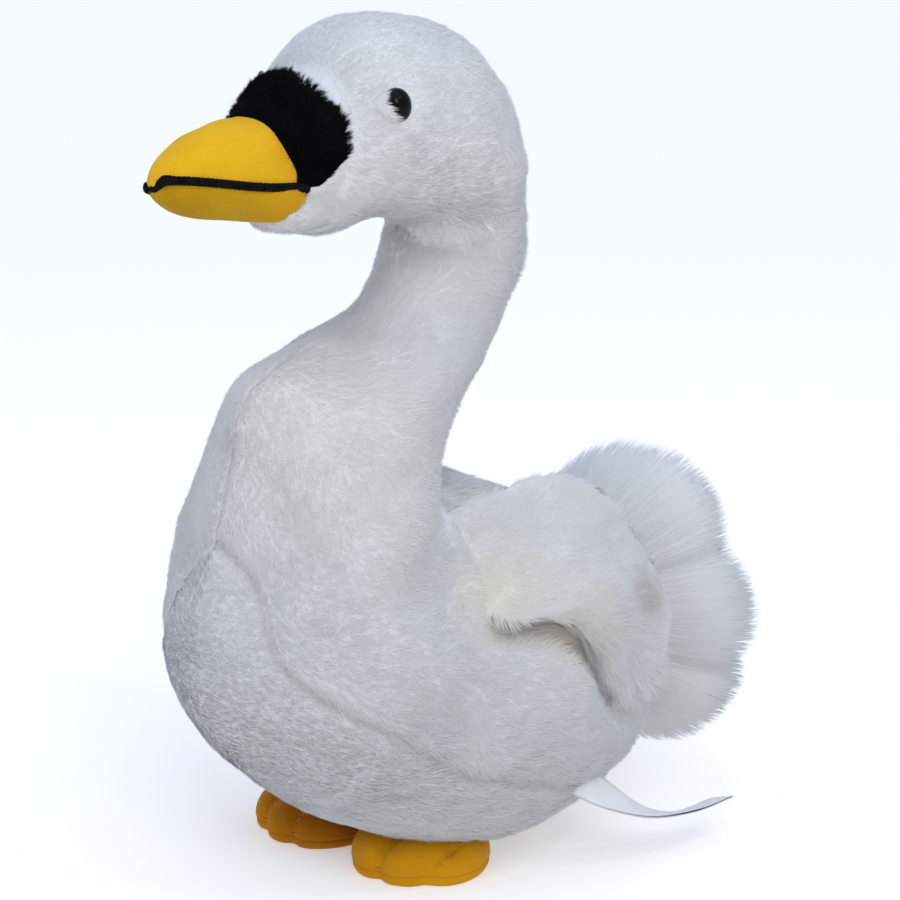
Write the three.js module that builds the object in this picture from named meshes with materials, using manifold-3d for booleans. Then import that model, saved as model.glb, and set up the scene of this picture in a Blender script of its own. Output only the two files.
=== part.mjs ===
// Plush toy swan, sitting on its belly and two padded feet, about 29 cm tall.
//
// Millimetres, +Z up. The swan looks along -Y and its left side is +X.
// The origin is the middle of the bounding box, on the surface that it sits on.
//
// The shapes are worked out in swan coordinates (f, s, z): f forward from the
// back of the neck, s towards the swan's left and z up, and then placed with
// place(f, s, z) = (s, -(f - MID_F), z).
import * as THREE from 'three';
import { mergeVertices } from 'three/addons/utils/BufferGeometryUtils.js';
import Module from 'manifold-3d';

const wasm = await Module();
wasm.setup();

// ---------------------------------------------------------------- sizes, mm
const MID_F = -22.8;          // f of the middle of the bounding box
const GAP = 0.3;              // free play between two sewn pieces
const PART_CUT = 0.3;         // width of the cuts head | neck | trunk

// Stuffed shell of the body, measured over the pile. Each station is a slice:
// [back f, back z, front f, front z, half width, keel]. The slices turn from
// upright in the rump to level in the neck and upright again in the face.
// keel sharpens the front of the slice, where the two side panels are sewn.
const BODY = [
  [-86, 73, -73, 33, 32, 0.0],      // rump
  [-76, 99, -72, 20, 47, 0.2],
  [-57, 115, -63, 10, 61, 0.35],
  [-37, 126, -50, 3, 69, 0.35],
  [-23, 132, -31, -1.2, 74, 0.35],  // seat
  [-13, 134.5, -9, 1.5, 76, 0.2],
  [-7.5, 134.5, 24, 14, 70, 0.05],  // belly
  [-3, 133.5, 58, 36, 63, 0.15],
  [-0.5, 134, 82, 64, 57, 0.3],
  [1.5, 135.5, 87, 93, 53, 0.45],
  [1, 140, 81, 119, 50.5, 0.7],     // breast and back corner
  [-5, 148, 74, 144.5, 44, 0.8],
  [-16, 158.5, 65.2, 171, 37, 0.8],
  [-29, 169, 41.2, 183, 30, 0.6],   // crop
  [-39, 185, 11.5, 192.5, 25, 0.25],
  [-43, 211, -5, 213, 30.5, 0.1],   // neck
  [-40.5, 231, -4.5, 217.5, 35, 0.0],   // throat
  [-36.5, 249.5, 4.5, 219.5, 39, 0.0],
  [-27.5, 268, 13.5, 220.5, 41.5, 0.0],
  [-12.5, 282.5, 18.5, 220.5, 42, 0.0], // crown
  [7.5, 287.5, 23.5, 219.5, 40, 0.0],
  [24, 285.5, 31, 218.2, 37, 0.0],
  [39, 272, 42, 216, 31.5, 0.0],
  [47.5, 254, 52, 219, 23, 0.0],    // face
];
const BODY_ROUND = 0.92;      // 1 would be an ellipse, less is fuller
const CAP_STATIONS = 2;       // stations taken by the round ends
const BODY_RINGS = 50, BODY_SIDES = 32;
const SEAT_Z = 0.0;           // level of the flat under the belly
const NECK_FOOT_AT = 12.6;    // stations where the three lengths meet
const NECK_TOP_AT = 16.0;

// Black patch of longer pile round the beak.
const MASK = { f: 43, z: 247, r: 24, wide: 1.08, zoneF: 55, zoneZ: 247.5, zoneR: 26, zoneWide: 1.24, chinZ: 236 };

// Beak: a blunt cone in velour, an upper and a lower half with the sewn
// mouth line between them.
const BEAK = { tipF: 97.5, rootF: 38, tipZ: 238.6, rootZ: 236, halfWidth: 18.6, up: 21.5, down: 12.5,
  line: 2.0, proud: 0.5, rings: 10, sides: 26 };

// Safety eyes: a flat-backed dome, seated in the pile.
const EYE = { f: 29.4, s: 35.6, z: 262.2, radius: 4.9, bulge: 0.72, turn: 8, tilt: 14 };

// Wings: padded flaps sewn along their front edge. Outline in (f, z).
const WING_OUTLINE = [
  [13, 125],     // upper end of the seam
  [-9, 138],
  [-26, 139.5],  // shoulder
  [-39, 132],
  [-52, 111],
  [-58.5, 91],   // tip
  [-55, 73],
  [-43, 66.5],
  [-31, 69],
  [-20, 86],     // trailing edge
  [-6, 96.5],
  [12, 99.5],
  [17, 112],     // lower end of the seam
];
const WING = { out: 74, curveFrom: 88, curve: 0.0078, rootPull: 23, thick: 15, edge: 2.0, rings: 5, sides: 28 };

// Tail: an upright fan of long pile with five soft lobes.
const TAIL = { f: -114, z: 69.5, halfDepth: 29, rootDepth: 14, halfWidth: 55.5, halfHeight: 58, lean: -6, rings: 5, sides: 36,
  notches: [[60, 0.055, 20], [111, 0.035, 9]] };

// Feet: padded, three toes, splayed outwards, flat soles.
const FOOT = { toe: 23.5, heel: 15.5, halfWidth: 23.5, square: 2.3, height: 15.5, grooves: [-27, 21], notch: 0.1, grooveWidth: 8,
  groove: 1.6, rim: 3.6, rings: 6, sides: 40 };
const FOOT_LEFT = { f: 3.2, s: 14.6, splay: 35 }, FOOT_RIGHT = { f: 6.8, s: 33.4, splay: 12 };

// Woven label: a folded ribbon sewn into the left seam of the belly.
const LABEL = { width: 11.5, thick: 0.9,
  path: [[-26, 59.5, 33], [-38, 63.5, 26.8], [-54, 66.8, 20.8], [-71, 68.6, 17.8], [-88, 69.6, 18]],
  turnFrom: 60, turnTo: -22, steps: 14 };

// ------------------------------------------------------------------ helpers
const rad = (d) => d * Math.PI / 180;
const clamp = (x, a, b) => Math.min(b, Math.max(a, x));
const smooth = (x) => { const u = clamp(x, 0, 1); return u * u * (3 - 2 * u); };
// 1 on an angle, in degrees, and fading away over a width on both sides of it
const nearAngle = (deg, on, width) => {
  const d = (((deg - on + 540) % 360) + 360) % 360 - 180;
  return Math.exp(-((d / width) ** 2));
};
const place = (f, s, z) => new THREE.Vector3(s, -(f - MID_F), z);

// A row of a table at a place between its stations, on a smooth curve.
function rowAt(table, t) {
  const n = table.length;
  const i = clamp(Math.floor(t), 0, n - 2), u = t - i;
  const p1 = table[i], p2 = table[i + 1];
  const p0 = i > 0 ? table[i - 1] : p1.map((v, k) => 2 * v - p2[k]);
  const p3 = i < n - 2 ? table[i + 2] : p2.map((v, k) => 2 * v - p1[k]);
  return p1.map((_, k) => 0.5 * (2 * p1[k] + (p2[k] - p0[k]) * u
    + (2 * p0[k] - 5 * p1[k] + 4 * p2[k] - p3[k]) * u * u
    + (3 * p1[k] - p0[k] - 3 * p2[k] + p3[k]) * u * u * u));
}

// The same on a closed loop of points, u from 0 to 1.
function loopAt(table, u) {
  const n = table.length, t = (((u % 1) + 1) % 1) * n, i = Math.floor(t), v = t - i;
  const p = [-1, 0, 1, 2].map((k) => table[(i + k + n) % n]);
  return p[1].map((_, k) => 0.5 * (2 * p[1][k] + (p[2][k] - p[0][k]) * v
    + (2 * p[0][k] - 5 * p[1][k] + 4 * p[2][k] - p[3][k]) * v * v
    + (3 * p[1][k] - p[0][k] - 3 * p[2][k] + p[3][k]) * v * v * v));
}

// Closed surface: a pole, rings of equal size, a pole.
function ringSolid(first, rings, last) {
  const m = rings[0].length, pos = [first, ...rings.flat(), last], idx = [];
  const at = (r, k) => 1 + r * m + ((k + m) % m), end = pos.length - 1;
  for (let k = 0; k < m; k++) {
    idx.push(0, at(0, k), at(0, k + 1), end, at(rings.length - 1, k + 1), at(rings.length - 1, k));
    for (let r = 0; r + 1 < rings.length; r++) {
      idx.push(at(r, k), at(r + 1, k), at(r + 1, k + 1), at(r, k), at(r + 1, k + 1), at(r, k + 1));
    }
  }
  const g = new THREE.BufferGeometry();
  g.setAttribute('position', new THREE.Float32BufferAttribute(pos.flatMap((p) => [p.x, p.y, p.z]), 3));
  g.setIndex(idx);
  return facingOut(g);
}

function volumeOf(g) {
  const p = g.attributes.position, ix = g.index.array, a = new THREE.Vector3(), b = new THREE.Vector3(), c = new THREE.Vector3();
  let v = 0;
  for (let i = 0; i < ix.length; i += 3) {
    a.fromBufferAttribute(p, ix[i]); b.fromBufferAttribute(p, ix[i + 1]); c.fromBufferAttribute(p, ix[i + 2]);
    v += a.dot(b.cross(c)) / 6;
  }
  return v;
}

function facingOut(g) {
  if (volumeOf(g) < 0) {
    const ix = Array.from(g.index.array);
    for (let i = 0; i < ix.length; i += 3) [ix[i + 1], ix[i + 2]] = [ix[i + 2], ix[i + 1]];
    g.setIndex(ix);
  }
  return g;
}

// A copy grown by d along its vertex normals.
function grown(g, d) {
  const c = g.clone();
  c.computeVertexNormals();
  const p = c.attributes.position, n = c.attributes.normal;
  for (let i = 0; i < p.count; i++) p.setXYZ(i, p.getX(i) + d * n.getX(i), p.getY(i) + d * n.getY(i), p.getZ(i) + d * n.getZ(i));
  c.deleteAttribute('normal');
  return c;
}

function mirrored(g) {
  const c = g.clone(), p = c.attributes.position;
  for (let i = 0; i < p.count; i++) p.setX(i, -p.getX(i));
  return facingOut(c);
}

function solid(geometry) {
  let g = geometry.clone();
  for (const name of ['normal', 'uv']) if (g.attributes[name]) g.deleteAttribute(name);
  g = mergeVertices(g, 1e-4);
  return new wasm.Manifold(new wasm.Mesh({
    numProp: 3,
    vertProperties: new Float32Array(g.attributes.position.array),
    triVerts: new Uint32Array(g.index.array),
  }));
}

function geometryOf(m) {
  const mesh = m.getMesh(), g = new THREE.BufferGeometry();
  g.setAttribute('position', new THREE.Float32BufferAttribute(new Float32Array(mesh.vertProperties), 3));
  g.setIndex(Array.from(mesh.triVerts));
  return g;
}

// The half space beyond a point, as a large block; dir points into it.
function halfSpace(point, dir) {
  const size = 900, g = new THREE.BoxGeometry(size, size, size);
  g.translate(0, 0, size / 2);
  g.applyQuaternion(new THREE.Quaternion().setFromUnitVectors(new THREE.Vector3(0, 0, 1), dir.clone().normalize()));
  g.translate(point.x, point.y, point.z);
  return solid(g);
}

function ball(f, s, z, r, wide = 1, across = 24, down = 14) {
  const g = new THREE.SphereGeometry(r, across, down), c = place(f, s, z);
  g.rotateX(Math.PI / 2);
  g.scale(wide, 1, 1);
  g.translate(c.x, c.y, c.z);
  return g;
}

// --------------------------------------------------------------------- body
function bodyRing(t) {
  const [df, dz, vf, vz, half, keel] = rowAt(BODY, t);
  const x0 = clamp(1 - t / CAP_STATIONS, 0, 1), x1 = clamp(1 - (BODY.length - 1 - t) / CAP_STATIONS, 0, 1);
  const end = Math.sqrt(1 - x0 ** 2.2) * Math.sqrt(1 - x1 ** 2.2);
  const ring = [];
  for (let k = 0; k < BODY_SIDES; k++) {
    const a = 2 * Math.PI * k / BODY_SIDES, c = Math.cos(a), s = Math.sin(a);
    const e = BODY_ROUND + keel * (1 - c) / 2;
    ring.push(place((df + vf) / 2 + (df - vf) / 2 * end * c,
      half * end * Math.sign(s) * Math.abs(s) ** e, (dz + vz) / 2 + (dz - vz) / 2 * end * c));
  }
  return ring;
}

function bodyGeometry() {
  const n = BODY.length - 1, rings = [];
  for (let i = 1; i < BODY_RINGS; i++) {
    // closer rings in the round ends
    const u = i / BODY_RINGS, t = n * (u - 0.07 * Math.sin(2 * Math.PI * u) / (2 * Math.PI) * 2);
    rings.push(bodyRing(clamp(t, 0.05, n - 0.05)));
  }
  const mid = (t) => { const r = rowAt(BODY, t); return place((r[0] + r[2]) / 2, 0, (r[1] + r[3]) / 2); };
  return ringSolid(mid(0), rings, mid(n));
}

const bodyShape = bodyGeometry();
const maskBall = ball(MASK.f, 0, MASK.z, MASK.r, MASK.wide);
const whole = solid(bodyShape).add(solid(maskBall));
const wholeGrown = solid(grown(bodyShape, GAP)).add(solid(ball(MASK.f, 0, MASK.z, MASK.r + GAP, MASK.wide)));

// planes of the two cuts, through the body's stations
function cutPlane(t) {
  const r = rowAt(BODY, t), a = place(r[0], 0, r[1]), b = place(r[2], 0, r[3]);
  const dir = new THREE.Vector3().crossVectors(new THREE.Vector3(1, 0, 0), b.clone().sub(a)).normalize();
  if (dir.z < 0) dir.negate();
  return { point: a.add(b).multiplyScalar(0.5), dir };
}
function parts2(m, t) {
  const { point, dir } = cutPlane(t), h = dir.clone().multiplyScalar(PART_CUT / 2);
  return [m.intersect(halfSpace(point.clone().sub(h), dir.clone().negate())), m.intersect(halfSpace(point.clone().add(h), dir))];
}
const [trunkRaw, upper] = parts2(whole, NECK_FOOT_AT);
const [neck, headRaw] = parts2(upper, NECK_TOP_AT);
const trunk = trunkRaw.intersect(halfSpace(new THREE.Vector3(0, 0, SEAT_Z), new THREE.Vector3(0, 0, 1)));

const up = new THREE.Vector3(0, 0, 1), down = new THREE.Vector3(0, 0, -1);
function zone(extra) {
  return solid(ball(MASK.zoneF, 0, MASK.zoneZ, MASK.zoneR + extra, MASK.zoneWide))
    .intersect(halfSpace(place(0, 0, MASK.chinZ - extra), up));
}
const maskZone = zone(0), maskZoneGrown = zone(GAP);
const mask = headRaw.intersect(maskZone);
const head = headRaw.subtract(maskZoneGrown);

// --------------------------------------------------------------------- beak
function beakGeometry(extra) {
  const L = BEAK.tipF - BEAK.rootF, rings = [];
  for (let i = 1; i <= BEAK.rings; i++) {
    const x = (i / BEAK.rings) ** 1.5;                    // 0 at the tip
    const w = Math.sqrt(1 - (1 - Math.min(1, x * 1.12)) ** 2.2) ** 1.1;
    const cz = BEAK.tipZ + (BEAK.rootZ - BEAK.tipZ) * x, ring = [];
    for (let k = 0; k < BEAK.sides; k++) {
      const a = 2 * Math.PI * k / BEAK.sides, c = Math.cos(a), s = Math.sin(a);
      const h = (c > 0 ? BEAK.up : BEAK.down) * w + extra;
      ring.push(place(BEAK.tipF + extra - (L + extra) * x, (BEAK.halfWidth * w + extra) * Math.sign(s) * Math.abs(s) ** 0.9,
        cz + h * Math.sign(c) * Math.abs(c) ** 1.05));
    }
    rings.push(ring);
  }
  return ringSolid(place(BEAK.tipF + extra, 0, BEAK.tipZ), rings, place(BEAK.rootF, 0, BEAK.rootZ));
}
const lineTilt = (BEAK.rootZ - BEAK.tipZ) / (BEAK.tipF - BEAK.rootF);
const lineDir = new THREE.Vector3(0, -lineTilt, 1).normalize();
const lineAt = (dz) => place(BEAK.tipF, 0, BEAK.tipZ + dz);
const beak = solid(beakGeometry(0)).subtract(wholeGrown);
const beakUpper = beak.intersect(halfSpace(lineAt(BEAK.line / 2 + GAP), lineDir));
const beakLower = beak.intersect(halfSpace(lineAt(-BEAK.line / 2 - GAP), lineDir.clone().negate()));
const mouthLine = solid(beakGeometry(BEAK.proud)).subtract(wholeGrown)
  .intersect(halfSpace(lineAt(-BEAK.line / 2), lineDir)).intersect(halfSpace(lineAt(BEAK.line / 2), lineDir.clone().negate()));

// --------------------------------------------------------------------- eyes
function eyeGeometry() {
  const g = new THREE.SphereGeometry(EYE.radius, 16, 10), c = place(EYE.f, EYE.s, EYE.z);
  g.rotateZ(Math.PI / 2);
  g.scale(EYE.bulge, 1, 1);
  g.rotateY(-rad(EYE.tilt));
  g.rotateZ(-rad(EYE.turn));
  g.translate(c.x, c.y, c.z);
  return g;
}
const eyeShape = mergeVertices((() => { const g = eyeGeometry(); g.deleteAttribute('normal'); g.deleteAttribute('uv'); return g; })(), 1e-4);
const eyeLeft = solid(eyeShape).subtract(wholeGrown);
const eyeRight = solid(mirrored(eyeShape)).subtract(wholeGrown);

// -------------------------------------------------------------------- wings
function wingOut(f, z) {
  const bend = WING.curve * Math.max(0, z - WING.curveFrom) ** 2;
  const root = WING.rootPull * smooth((f + 20) / 38) * clamp((z - 90) / 30, 0, 1.15);
  return WING.out - bend - root;
}
function wingGeometry() {
  const cf = -25, cz = 103, rings = [[], []];
  const at = (r, k, side) => {
    const [of, oz] = loopAt(WING_OUTLINE, k / WING.sides);
    const f = cf + (of - cf) * r, z = cz + (oz - cz) * r;
    const pad = WING.edge / 2 + (WING.thick - WING.edge) / 2 * Math.sqrt(Math.max(0, 1 - r ** 2.4));
    return place(f, wingOut(f, z) - WING.thick / 2 + side * pad, z);
  };
  const outer = [], inner = [];
  for (let i = 1; i <= WING.rings; i++) {
    const r = Math.sin(Math.PI / 2 * i / WING.rings) ** 0.9;
    outer.push(Array.from({ length: WING.sides }, (_, k) => at(r, k, 1)));
    inner.unshift(Array.from({ length: WING.sides }, (_, k) => at(r, k, -1)));
  }
  return ringSolid(at(0, 0, 1), [...outer, ...inner], at(0, 0, -1));
}
const wingShape = wingGeometry();
const wingLeft = solid(wingShape).subtract(wholeGrown);
const wingRight = solid(mirrored(wingShape)).subtract(wholeGrown);

// --------------------------------------------------------------------- tail
function tailGeometry() {
  const at = (r, k, side) => {
    const a = 2 * Math.PI * k / TAIL.sides, deg = a * 180 / Math.PI;
    let lobe = 1;
    for (const [on, deep, wide] of TAIL.notches) lobe -= deep * (nearAngle(deg, on, wide) + nearAngle(deg, -on, wide)) * r * r;
    const dz = TAIL.halfHeight * r * lobe * Math.cos(a);
    const depth = TAIL.halfDepth * (1 - r ** 2.2) ** 0.55 + (side > 0 ? TAIL.rootDepth * (1 - smooth(r / 0.75)) : 0);
    return place(TAIL.f - Math.tan(rad(TAIL.lean)) * dz + side * depth, TAIL.halfWidth * r * lobe * Math.sin(a), TAIL.z + dz);
  };
  const front = [], back = [];
  for (let i = 1; i <= TAIL.rings; i++) {
    const r = Math.sin(Math.PI / 2 * i / TAIL.rings) ** 0.95;
    front.push(Array.from({ length: TAIL.sides }, (_, k) => at(r, k, 1)));
    if (i < TAIL.rings) back.unshift(Array.from({ length: TAIL.sides }, (_, k) => at(r, k, -1)));
  }
  return ringSolid(at(0, 0, 1), [...front, ...back], at(0, 0, -1));
}
const tail = solid(tailGeometry()).subtract(wholeGrown)
  .subtract(solid(grown(wingShape, GAP))).subtract(solid(grown(mirrored(wingShape), GAP)));

// --------------------------------------------------------------------- feet
function footGeometry(middle, side) {
  const turn = rad(middle.splay);
  const crease = (a) => FOOT.grooves.reduce((g, on) => g + nearAngle(a * 180 / Math.PI, on, FOOT.grooveWidth), 0);
  const radius = (a) => {                                  // a = 0 points to the middle toe
    const c = Math.abs(Math.cos(a)) / (Math.cos(a) > 0 ? FOOT.toe : FOOT.heel), v = Math.abs(Math.sin(a)) / FOOT.halfWidth;
    return (c ** FOOT.square + v ** FOOT.square) ** (-1 / FOOT.square) * (1 - FOOT.notch * crease(a));
  };
  const at = (r, k, h) => {
    const a = 2 * Math.PI * k / FOOT.sides, R = radius(a) * r;
    const u = R * Math.cos(a), v = R * Math.sin(a);
    return place(middle.f + u * Math.cos(turn) - v * Math.sin(turn), side * (middle.s + u * Math.sin(turn) + v * Math.cos(turn)), h);
  };
  const row = (r, hOf) => Array.from({ length: FOOT.sides }, (_, k) => at(r, k, hOf(2 * Math.PI * k / FOOT.sides)));
  const rings = [];
  for (let i = 1; i < FOOT.rings; i++) {
    const r = Math.sin(Math.PI / 2 * i / FOOT.rings) ** 0.9;
    rings.push(row(r, (a) => FOOT.rim + 2 + (FOOT.height - FOOT.rim - 2) * Math.sqrt(1 - r ** 2.6) - FOOT.groove * crease(a) * smooth((r - 0.25) / 0.4)));
  }
  rings.push(row(1.0, () => FOOT.rim + 1.2), row(0.985, () => FOOT.rim * 0.5), row(0.93, () => 0));
  return ringSolid(at(0, 0, FOOT.height), rings, at(0, 0, 0));
}
const footLeft = solid(footGeometry(FOOT_LEFT, 1)).subtract(wholeGrown);
const footRight = solid(footGeometry(FOOT_RIGHT, -1)).subtract(wholeGrown);

// -------------------------------------------------------------------- label
function labelGeometry() {
  const rings = [], P = LABEL.path;
  const at = (t) => rowAt(P, t * (P.length - 1));
  for (let i = 0; i <= LABEL.steps; i++) {
    const t = i / LABEL.steps, c = at(t), c2 = at(Math.min(1, t + 0.01)), c1 = at(Math.max(0, t - 0.01));
    const along = place(...c2).sub(place(...c1)).normalize();
    const a = rad(LABEL.turnFrom + (LABEL.turnTo - LABEL.turnFrom) * smooth(t * 1.25));
    const side = new THREE.Vector3().crossVectors(along, up).normalize();     // level, across the ribbon
    const lift = new THREE.Vector3().crossVectors(side, along).normalize();
    const wide = side.clone().multiplyScalar(-Math.cos(a)).addScaledVector(lift, Math.sin(a));
    const flat = new THREE.Vector3().crossVectors(along, wide).normalize();
    const p = place(...c), w = LABEL.width / 2, h = LABEL.thick / 2;
    rings.push([[1, 1], [-1, 1], [-1, -1], [1, -1]].map(([x, y]) => p.clone().addScaledVector(wide, x * w).addScaledVector(flat, y * h)));
  }
  return ringSolid(place(...at(0)), rings, place(...at(1)));
}
const label = solid(labelGeometry()).subtract(wholeGrown);

// ------------------------------------------------------------------- object
const LOOK = {
  plush: ['#e6e7eb', 0.95], black: ['#0b0b0d', 0.9], velour: ['#eeb212', 0.85], shade: ['#d99a10', 0.85],
  thread: ['#1a1613', 0.8], orange: ['#e79a12', 0.85], gloss: ['#050505', 0.08], ribbon: ['#f1f2f4', 0.6],
};
const swan = new THREE.Group();
function piece(name, manifold, look) {
  const [color, roughness] = LOOK[look];
  const mesh = new THREE.Mesh(geometryOf(manifold), new THREE.MeshStandardMaterial({ color, roughness, metalness: 0 }));
  mesh.name = name;
  swan.add(mesh);
}
piece('trunk', trunk, 'plush');
piece('neck', neck, 'plush');
piece('head', head, 'plush');
piece('mask', mask, 'black');
piece('beak_upper', beakUpper, 'velour');
piece('beak_lower', beakLower, 'shade');
piece('mouth_line', mouthLine, 'thread');
piece('eye_left', eyeLeft, 'gloss');
piece('eye_right', eyeRight, 'gloss');
piece('wing_left', wingLeft, 'plush');
piece('wing_right', wingRight, 'plush');
piece('tail', tail, 'plush');
piece('foot_left', footLeft, 'orange');
piece('foot_right', footRight, 'orange');
piece('label', label, 'ribbon');

export default swan;
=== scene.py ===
import math

import bpy
import numpy as np
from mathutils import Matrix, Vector
from mathutils.bvhtree import BVHTree
from mathutils.kdtree import KDTree


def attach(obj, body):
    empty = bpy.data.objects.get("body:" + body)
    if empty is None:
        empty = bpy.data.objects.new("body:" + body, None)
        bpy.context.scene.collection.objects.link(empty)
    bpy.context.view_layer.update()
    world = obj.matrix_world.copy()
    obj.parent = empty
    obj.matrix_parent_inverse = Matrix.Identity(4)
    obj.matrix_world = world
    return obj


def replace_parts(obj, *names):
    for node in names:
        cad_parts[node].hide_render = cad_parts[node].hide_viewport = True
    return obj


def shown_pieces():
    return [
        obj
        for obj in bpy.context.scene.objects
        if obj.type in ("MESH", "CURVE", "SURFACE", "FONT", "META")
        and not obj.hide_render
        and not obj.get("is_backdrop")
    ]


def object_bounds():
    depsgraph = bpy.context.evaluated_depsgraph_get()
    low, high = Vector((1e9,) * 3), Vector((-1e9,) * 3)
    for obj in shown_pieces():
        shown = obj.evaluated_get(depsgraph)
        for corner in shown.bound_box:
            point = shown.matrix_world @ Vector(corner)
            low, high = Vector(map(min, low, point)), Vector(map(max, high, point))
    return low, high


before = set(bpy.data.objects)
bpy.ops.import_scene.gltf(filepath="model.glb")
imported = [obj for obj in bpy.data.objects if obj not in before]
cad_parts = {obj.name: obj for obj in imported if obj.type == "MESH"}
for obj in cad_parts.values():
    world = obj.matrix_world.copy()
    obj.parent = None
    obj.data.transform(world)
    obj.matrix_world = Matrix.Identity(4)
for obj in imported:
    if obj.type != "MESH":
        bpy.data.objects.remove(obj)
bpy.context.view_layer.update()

# Lengths below are in millimetres, in the row frame (x the swan's left, y
# backwards, z up), and are turned to metres when a mesh is made. Shapes are
# worked out in swan coordinates (f forwards, s to the left, z up) and placed
# with place(f, s, z), as in the CAD source.
MM = 0.001
MID_F = -22.8
PILE = 1.2                            # depth of the short plush over the cloth
rng = np.random.default_rng(20)


# ------------------------------------------------------------------ helpers
def place(f, s, z):
    f, s, z = np.broadcast_arrays(np.asarray(f, float), np.asarray(s, float), np.asarray(z, float))
    return np.stack([s, -(f - MID_F), z], -1)


def swan_of(p):
    """f, s, z of points in the row frame."""
    return MID_F - p[..., 1], p[..., 0], p[..., 2]


def smooth(x):
    u = np.clip(x, 0, 1)
    return u * u * (3 - 2 * u)


def unit(v):
    return v / np.maximum(np.linalg.norm(v, axis=-1, keepdims=True), 1e-9)


def rows_at(table, t):
    """Rows of a table between its stations, on a smooth curve."""
    T, t = np.asarray(table, float), np.asarray(t, float)
    n = len(T)
    i = np.clip(np.floor(t).astype(int), 0, n - 2)
    u = (t - i)[..., None]
    p1, p2 = T[i], T[i + 1]
    p0 = np.where((i > 0)[..., None], T[np.maximum(i - 1, 0)], 2 * p1 - p2)
    p3 = np.where((i < n - 2)[..., None], T[np.minimum(i + 2, n - 1)], 2 * p2 - p1)
    return 0.5 * (2 * p1 + (p2 - p0) * u + (2 * p0 - 5 * p1 + 4 * p2 - p3) * u * u
                  + (3 * p1 - p0 - 3 * p2 + p3) * u ** 3)


def loop_at(table, u):
    """The same on a closed loop of points, u from 0 to 1."""
    T, n = np.asarray(table, float), len(table)
    t = (np.asarray(u, float) % 1) * n
    i = np.floor(t).astype(int)
    v = (t - i)[..., None]
    p = [T[(i + k) % n] for k in (-1, 0, 1, 2)]
    return 0.5 * (2 * p[1] + (p[2] - p[0]) * v + (2 * p[0] - 5 * p[1] + 4 * p[2] - p[3]) * v * v
                  + (3 * p[1] - p[0] - 3 * p[2] + p[3]) * v ** 3)


def line_of(points, step=1.0):
    """Points about a step apart on a smooth line through the given ones."""
    P = np.asarray(points, float)
    n = int(np.linalg.norm(np.diff(P, axis=0), axis=1).sum() / step) + 2
    return rows_at(P, np.linspace(0, len(P) - 1, n))


class Waves:
    """Smooth noise from -1 to 1 made of a few sine waves, wavelengths in mm."""

    def __init__(self, seed, wavelength, count=9, stretch=(1, 1, 1)):
        r = np.random.default_rng(seed)
        d = unit(r.normal(size=(count, 3)))
        self.k = d * (2 * np.pi / (wavelength * r.uniform(0.6, 1.6, (count, 1)))) / np.asarray(stretch, float)
        self.ph = r.uniform(0, 2 * np.pi, count)

    def __call__(self, p):
        return np.sin(p @ self.k.T + self.ph).sum(-1) / (0.75 * len(self.ph) ** 0.5) / 1.6


def grid_mesh(P, first=None, last=None):
    """Closed surface over rings P (rings, around, 3), with a pole at each end.
    Returns points, triangles and each corner's place on the (around, along) unwrap."""
    R, M = P.shape[:2]
    pts = P.reshape(-1, 3)
    r, k = np.meshgrid(np.arange(R - 1), np.arange(M), indexing="ij")
    k2 = (k + 1) % M
    a, b, c, d = r * M + k, (r + 1) * M + k, (r + 1) * M + k2, r * M + k2
    tris = np.concatenate([np.stack([a, b, c], -1).reshape(-1, 3), np.stack([a, c, d], -1).reshape(-1, 3)])
    ua, ub, va, vb = k / M, (k + 1) / M, (r + 1) / (R + 1), (r + 2) / (R + 1)
    uv = np.concatenate([
        np.stack([np.stack([ua, va], -1), np.stack([ua, vb], -1), np.stack([ub, vb], -1)], -2).reshape(-1, 3, 2),
        np.stack([np.stack([ua, va], -1), np.stack([ub, vb], -1), np.stack([ub, va], -1)], -2).reshape(-1, 3, 2)])
    ks = np.arange(M)
    if first is not None:
        pts = np.vstack([pts, first])
        t = np.stack([np.full(M, len(pts) - 1), ks, (ks + 1) % M], -1)
        u = np.stack([np.stack([(ks + .5) / M, 0 * ks], -1), np.stack([ks / M, 0 * ks + 1 / (R + 1)], -1),
                      np.stack([(ks + 1) / M, 0 * ks + 1 / (R + 1)], -1)], -2)
        tris, uv = np.vstack([tris, t]), np.concatenate([uv, u])
    if last is not None:
        pts = np.vstack([pts, last])
        o = (R - 1) * M
        t = np.stack([np.full(M, len(pts) - 1), o + (ks + 1) % M, o + ks], -1)
        u = np.stack([np.stack([(ks + .5) / M, 0 * ks + 1.0], -1), np.stack([(ks + 1) / M, 0 * ks + R / (R + 1)], -1),
                      np.stack([ks / M, 0 * ks + R / (R + 1)], -1)], -2)
        tris, uv = np.vstack([tris, t]), np.concatenate([uv, u])
    a, b, c = pts[tris[:, 0]], pts[tris[:, 1]], pts[tris[:, 2]]
    if np.einsum("ij,ij->", a - pts.mean(0), np.cross(b - a, c - a)) < 0:
        tris, uv = tris[:, ::-1], uv[:, ::-1]
    return pts, tris, uv


def point_normals(pts, tris):
    a, b, c = pts[tris[:, 0]], pts[tris[:, 1]], pts[tris[:, 2]]
    n = np.cross(b - a, c - a)
    out = np.zeros_like(pts)
    for j in range(3):
        np.add.at(out, tris[:, j], n)
    return unit(out)


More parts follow.
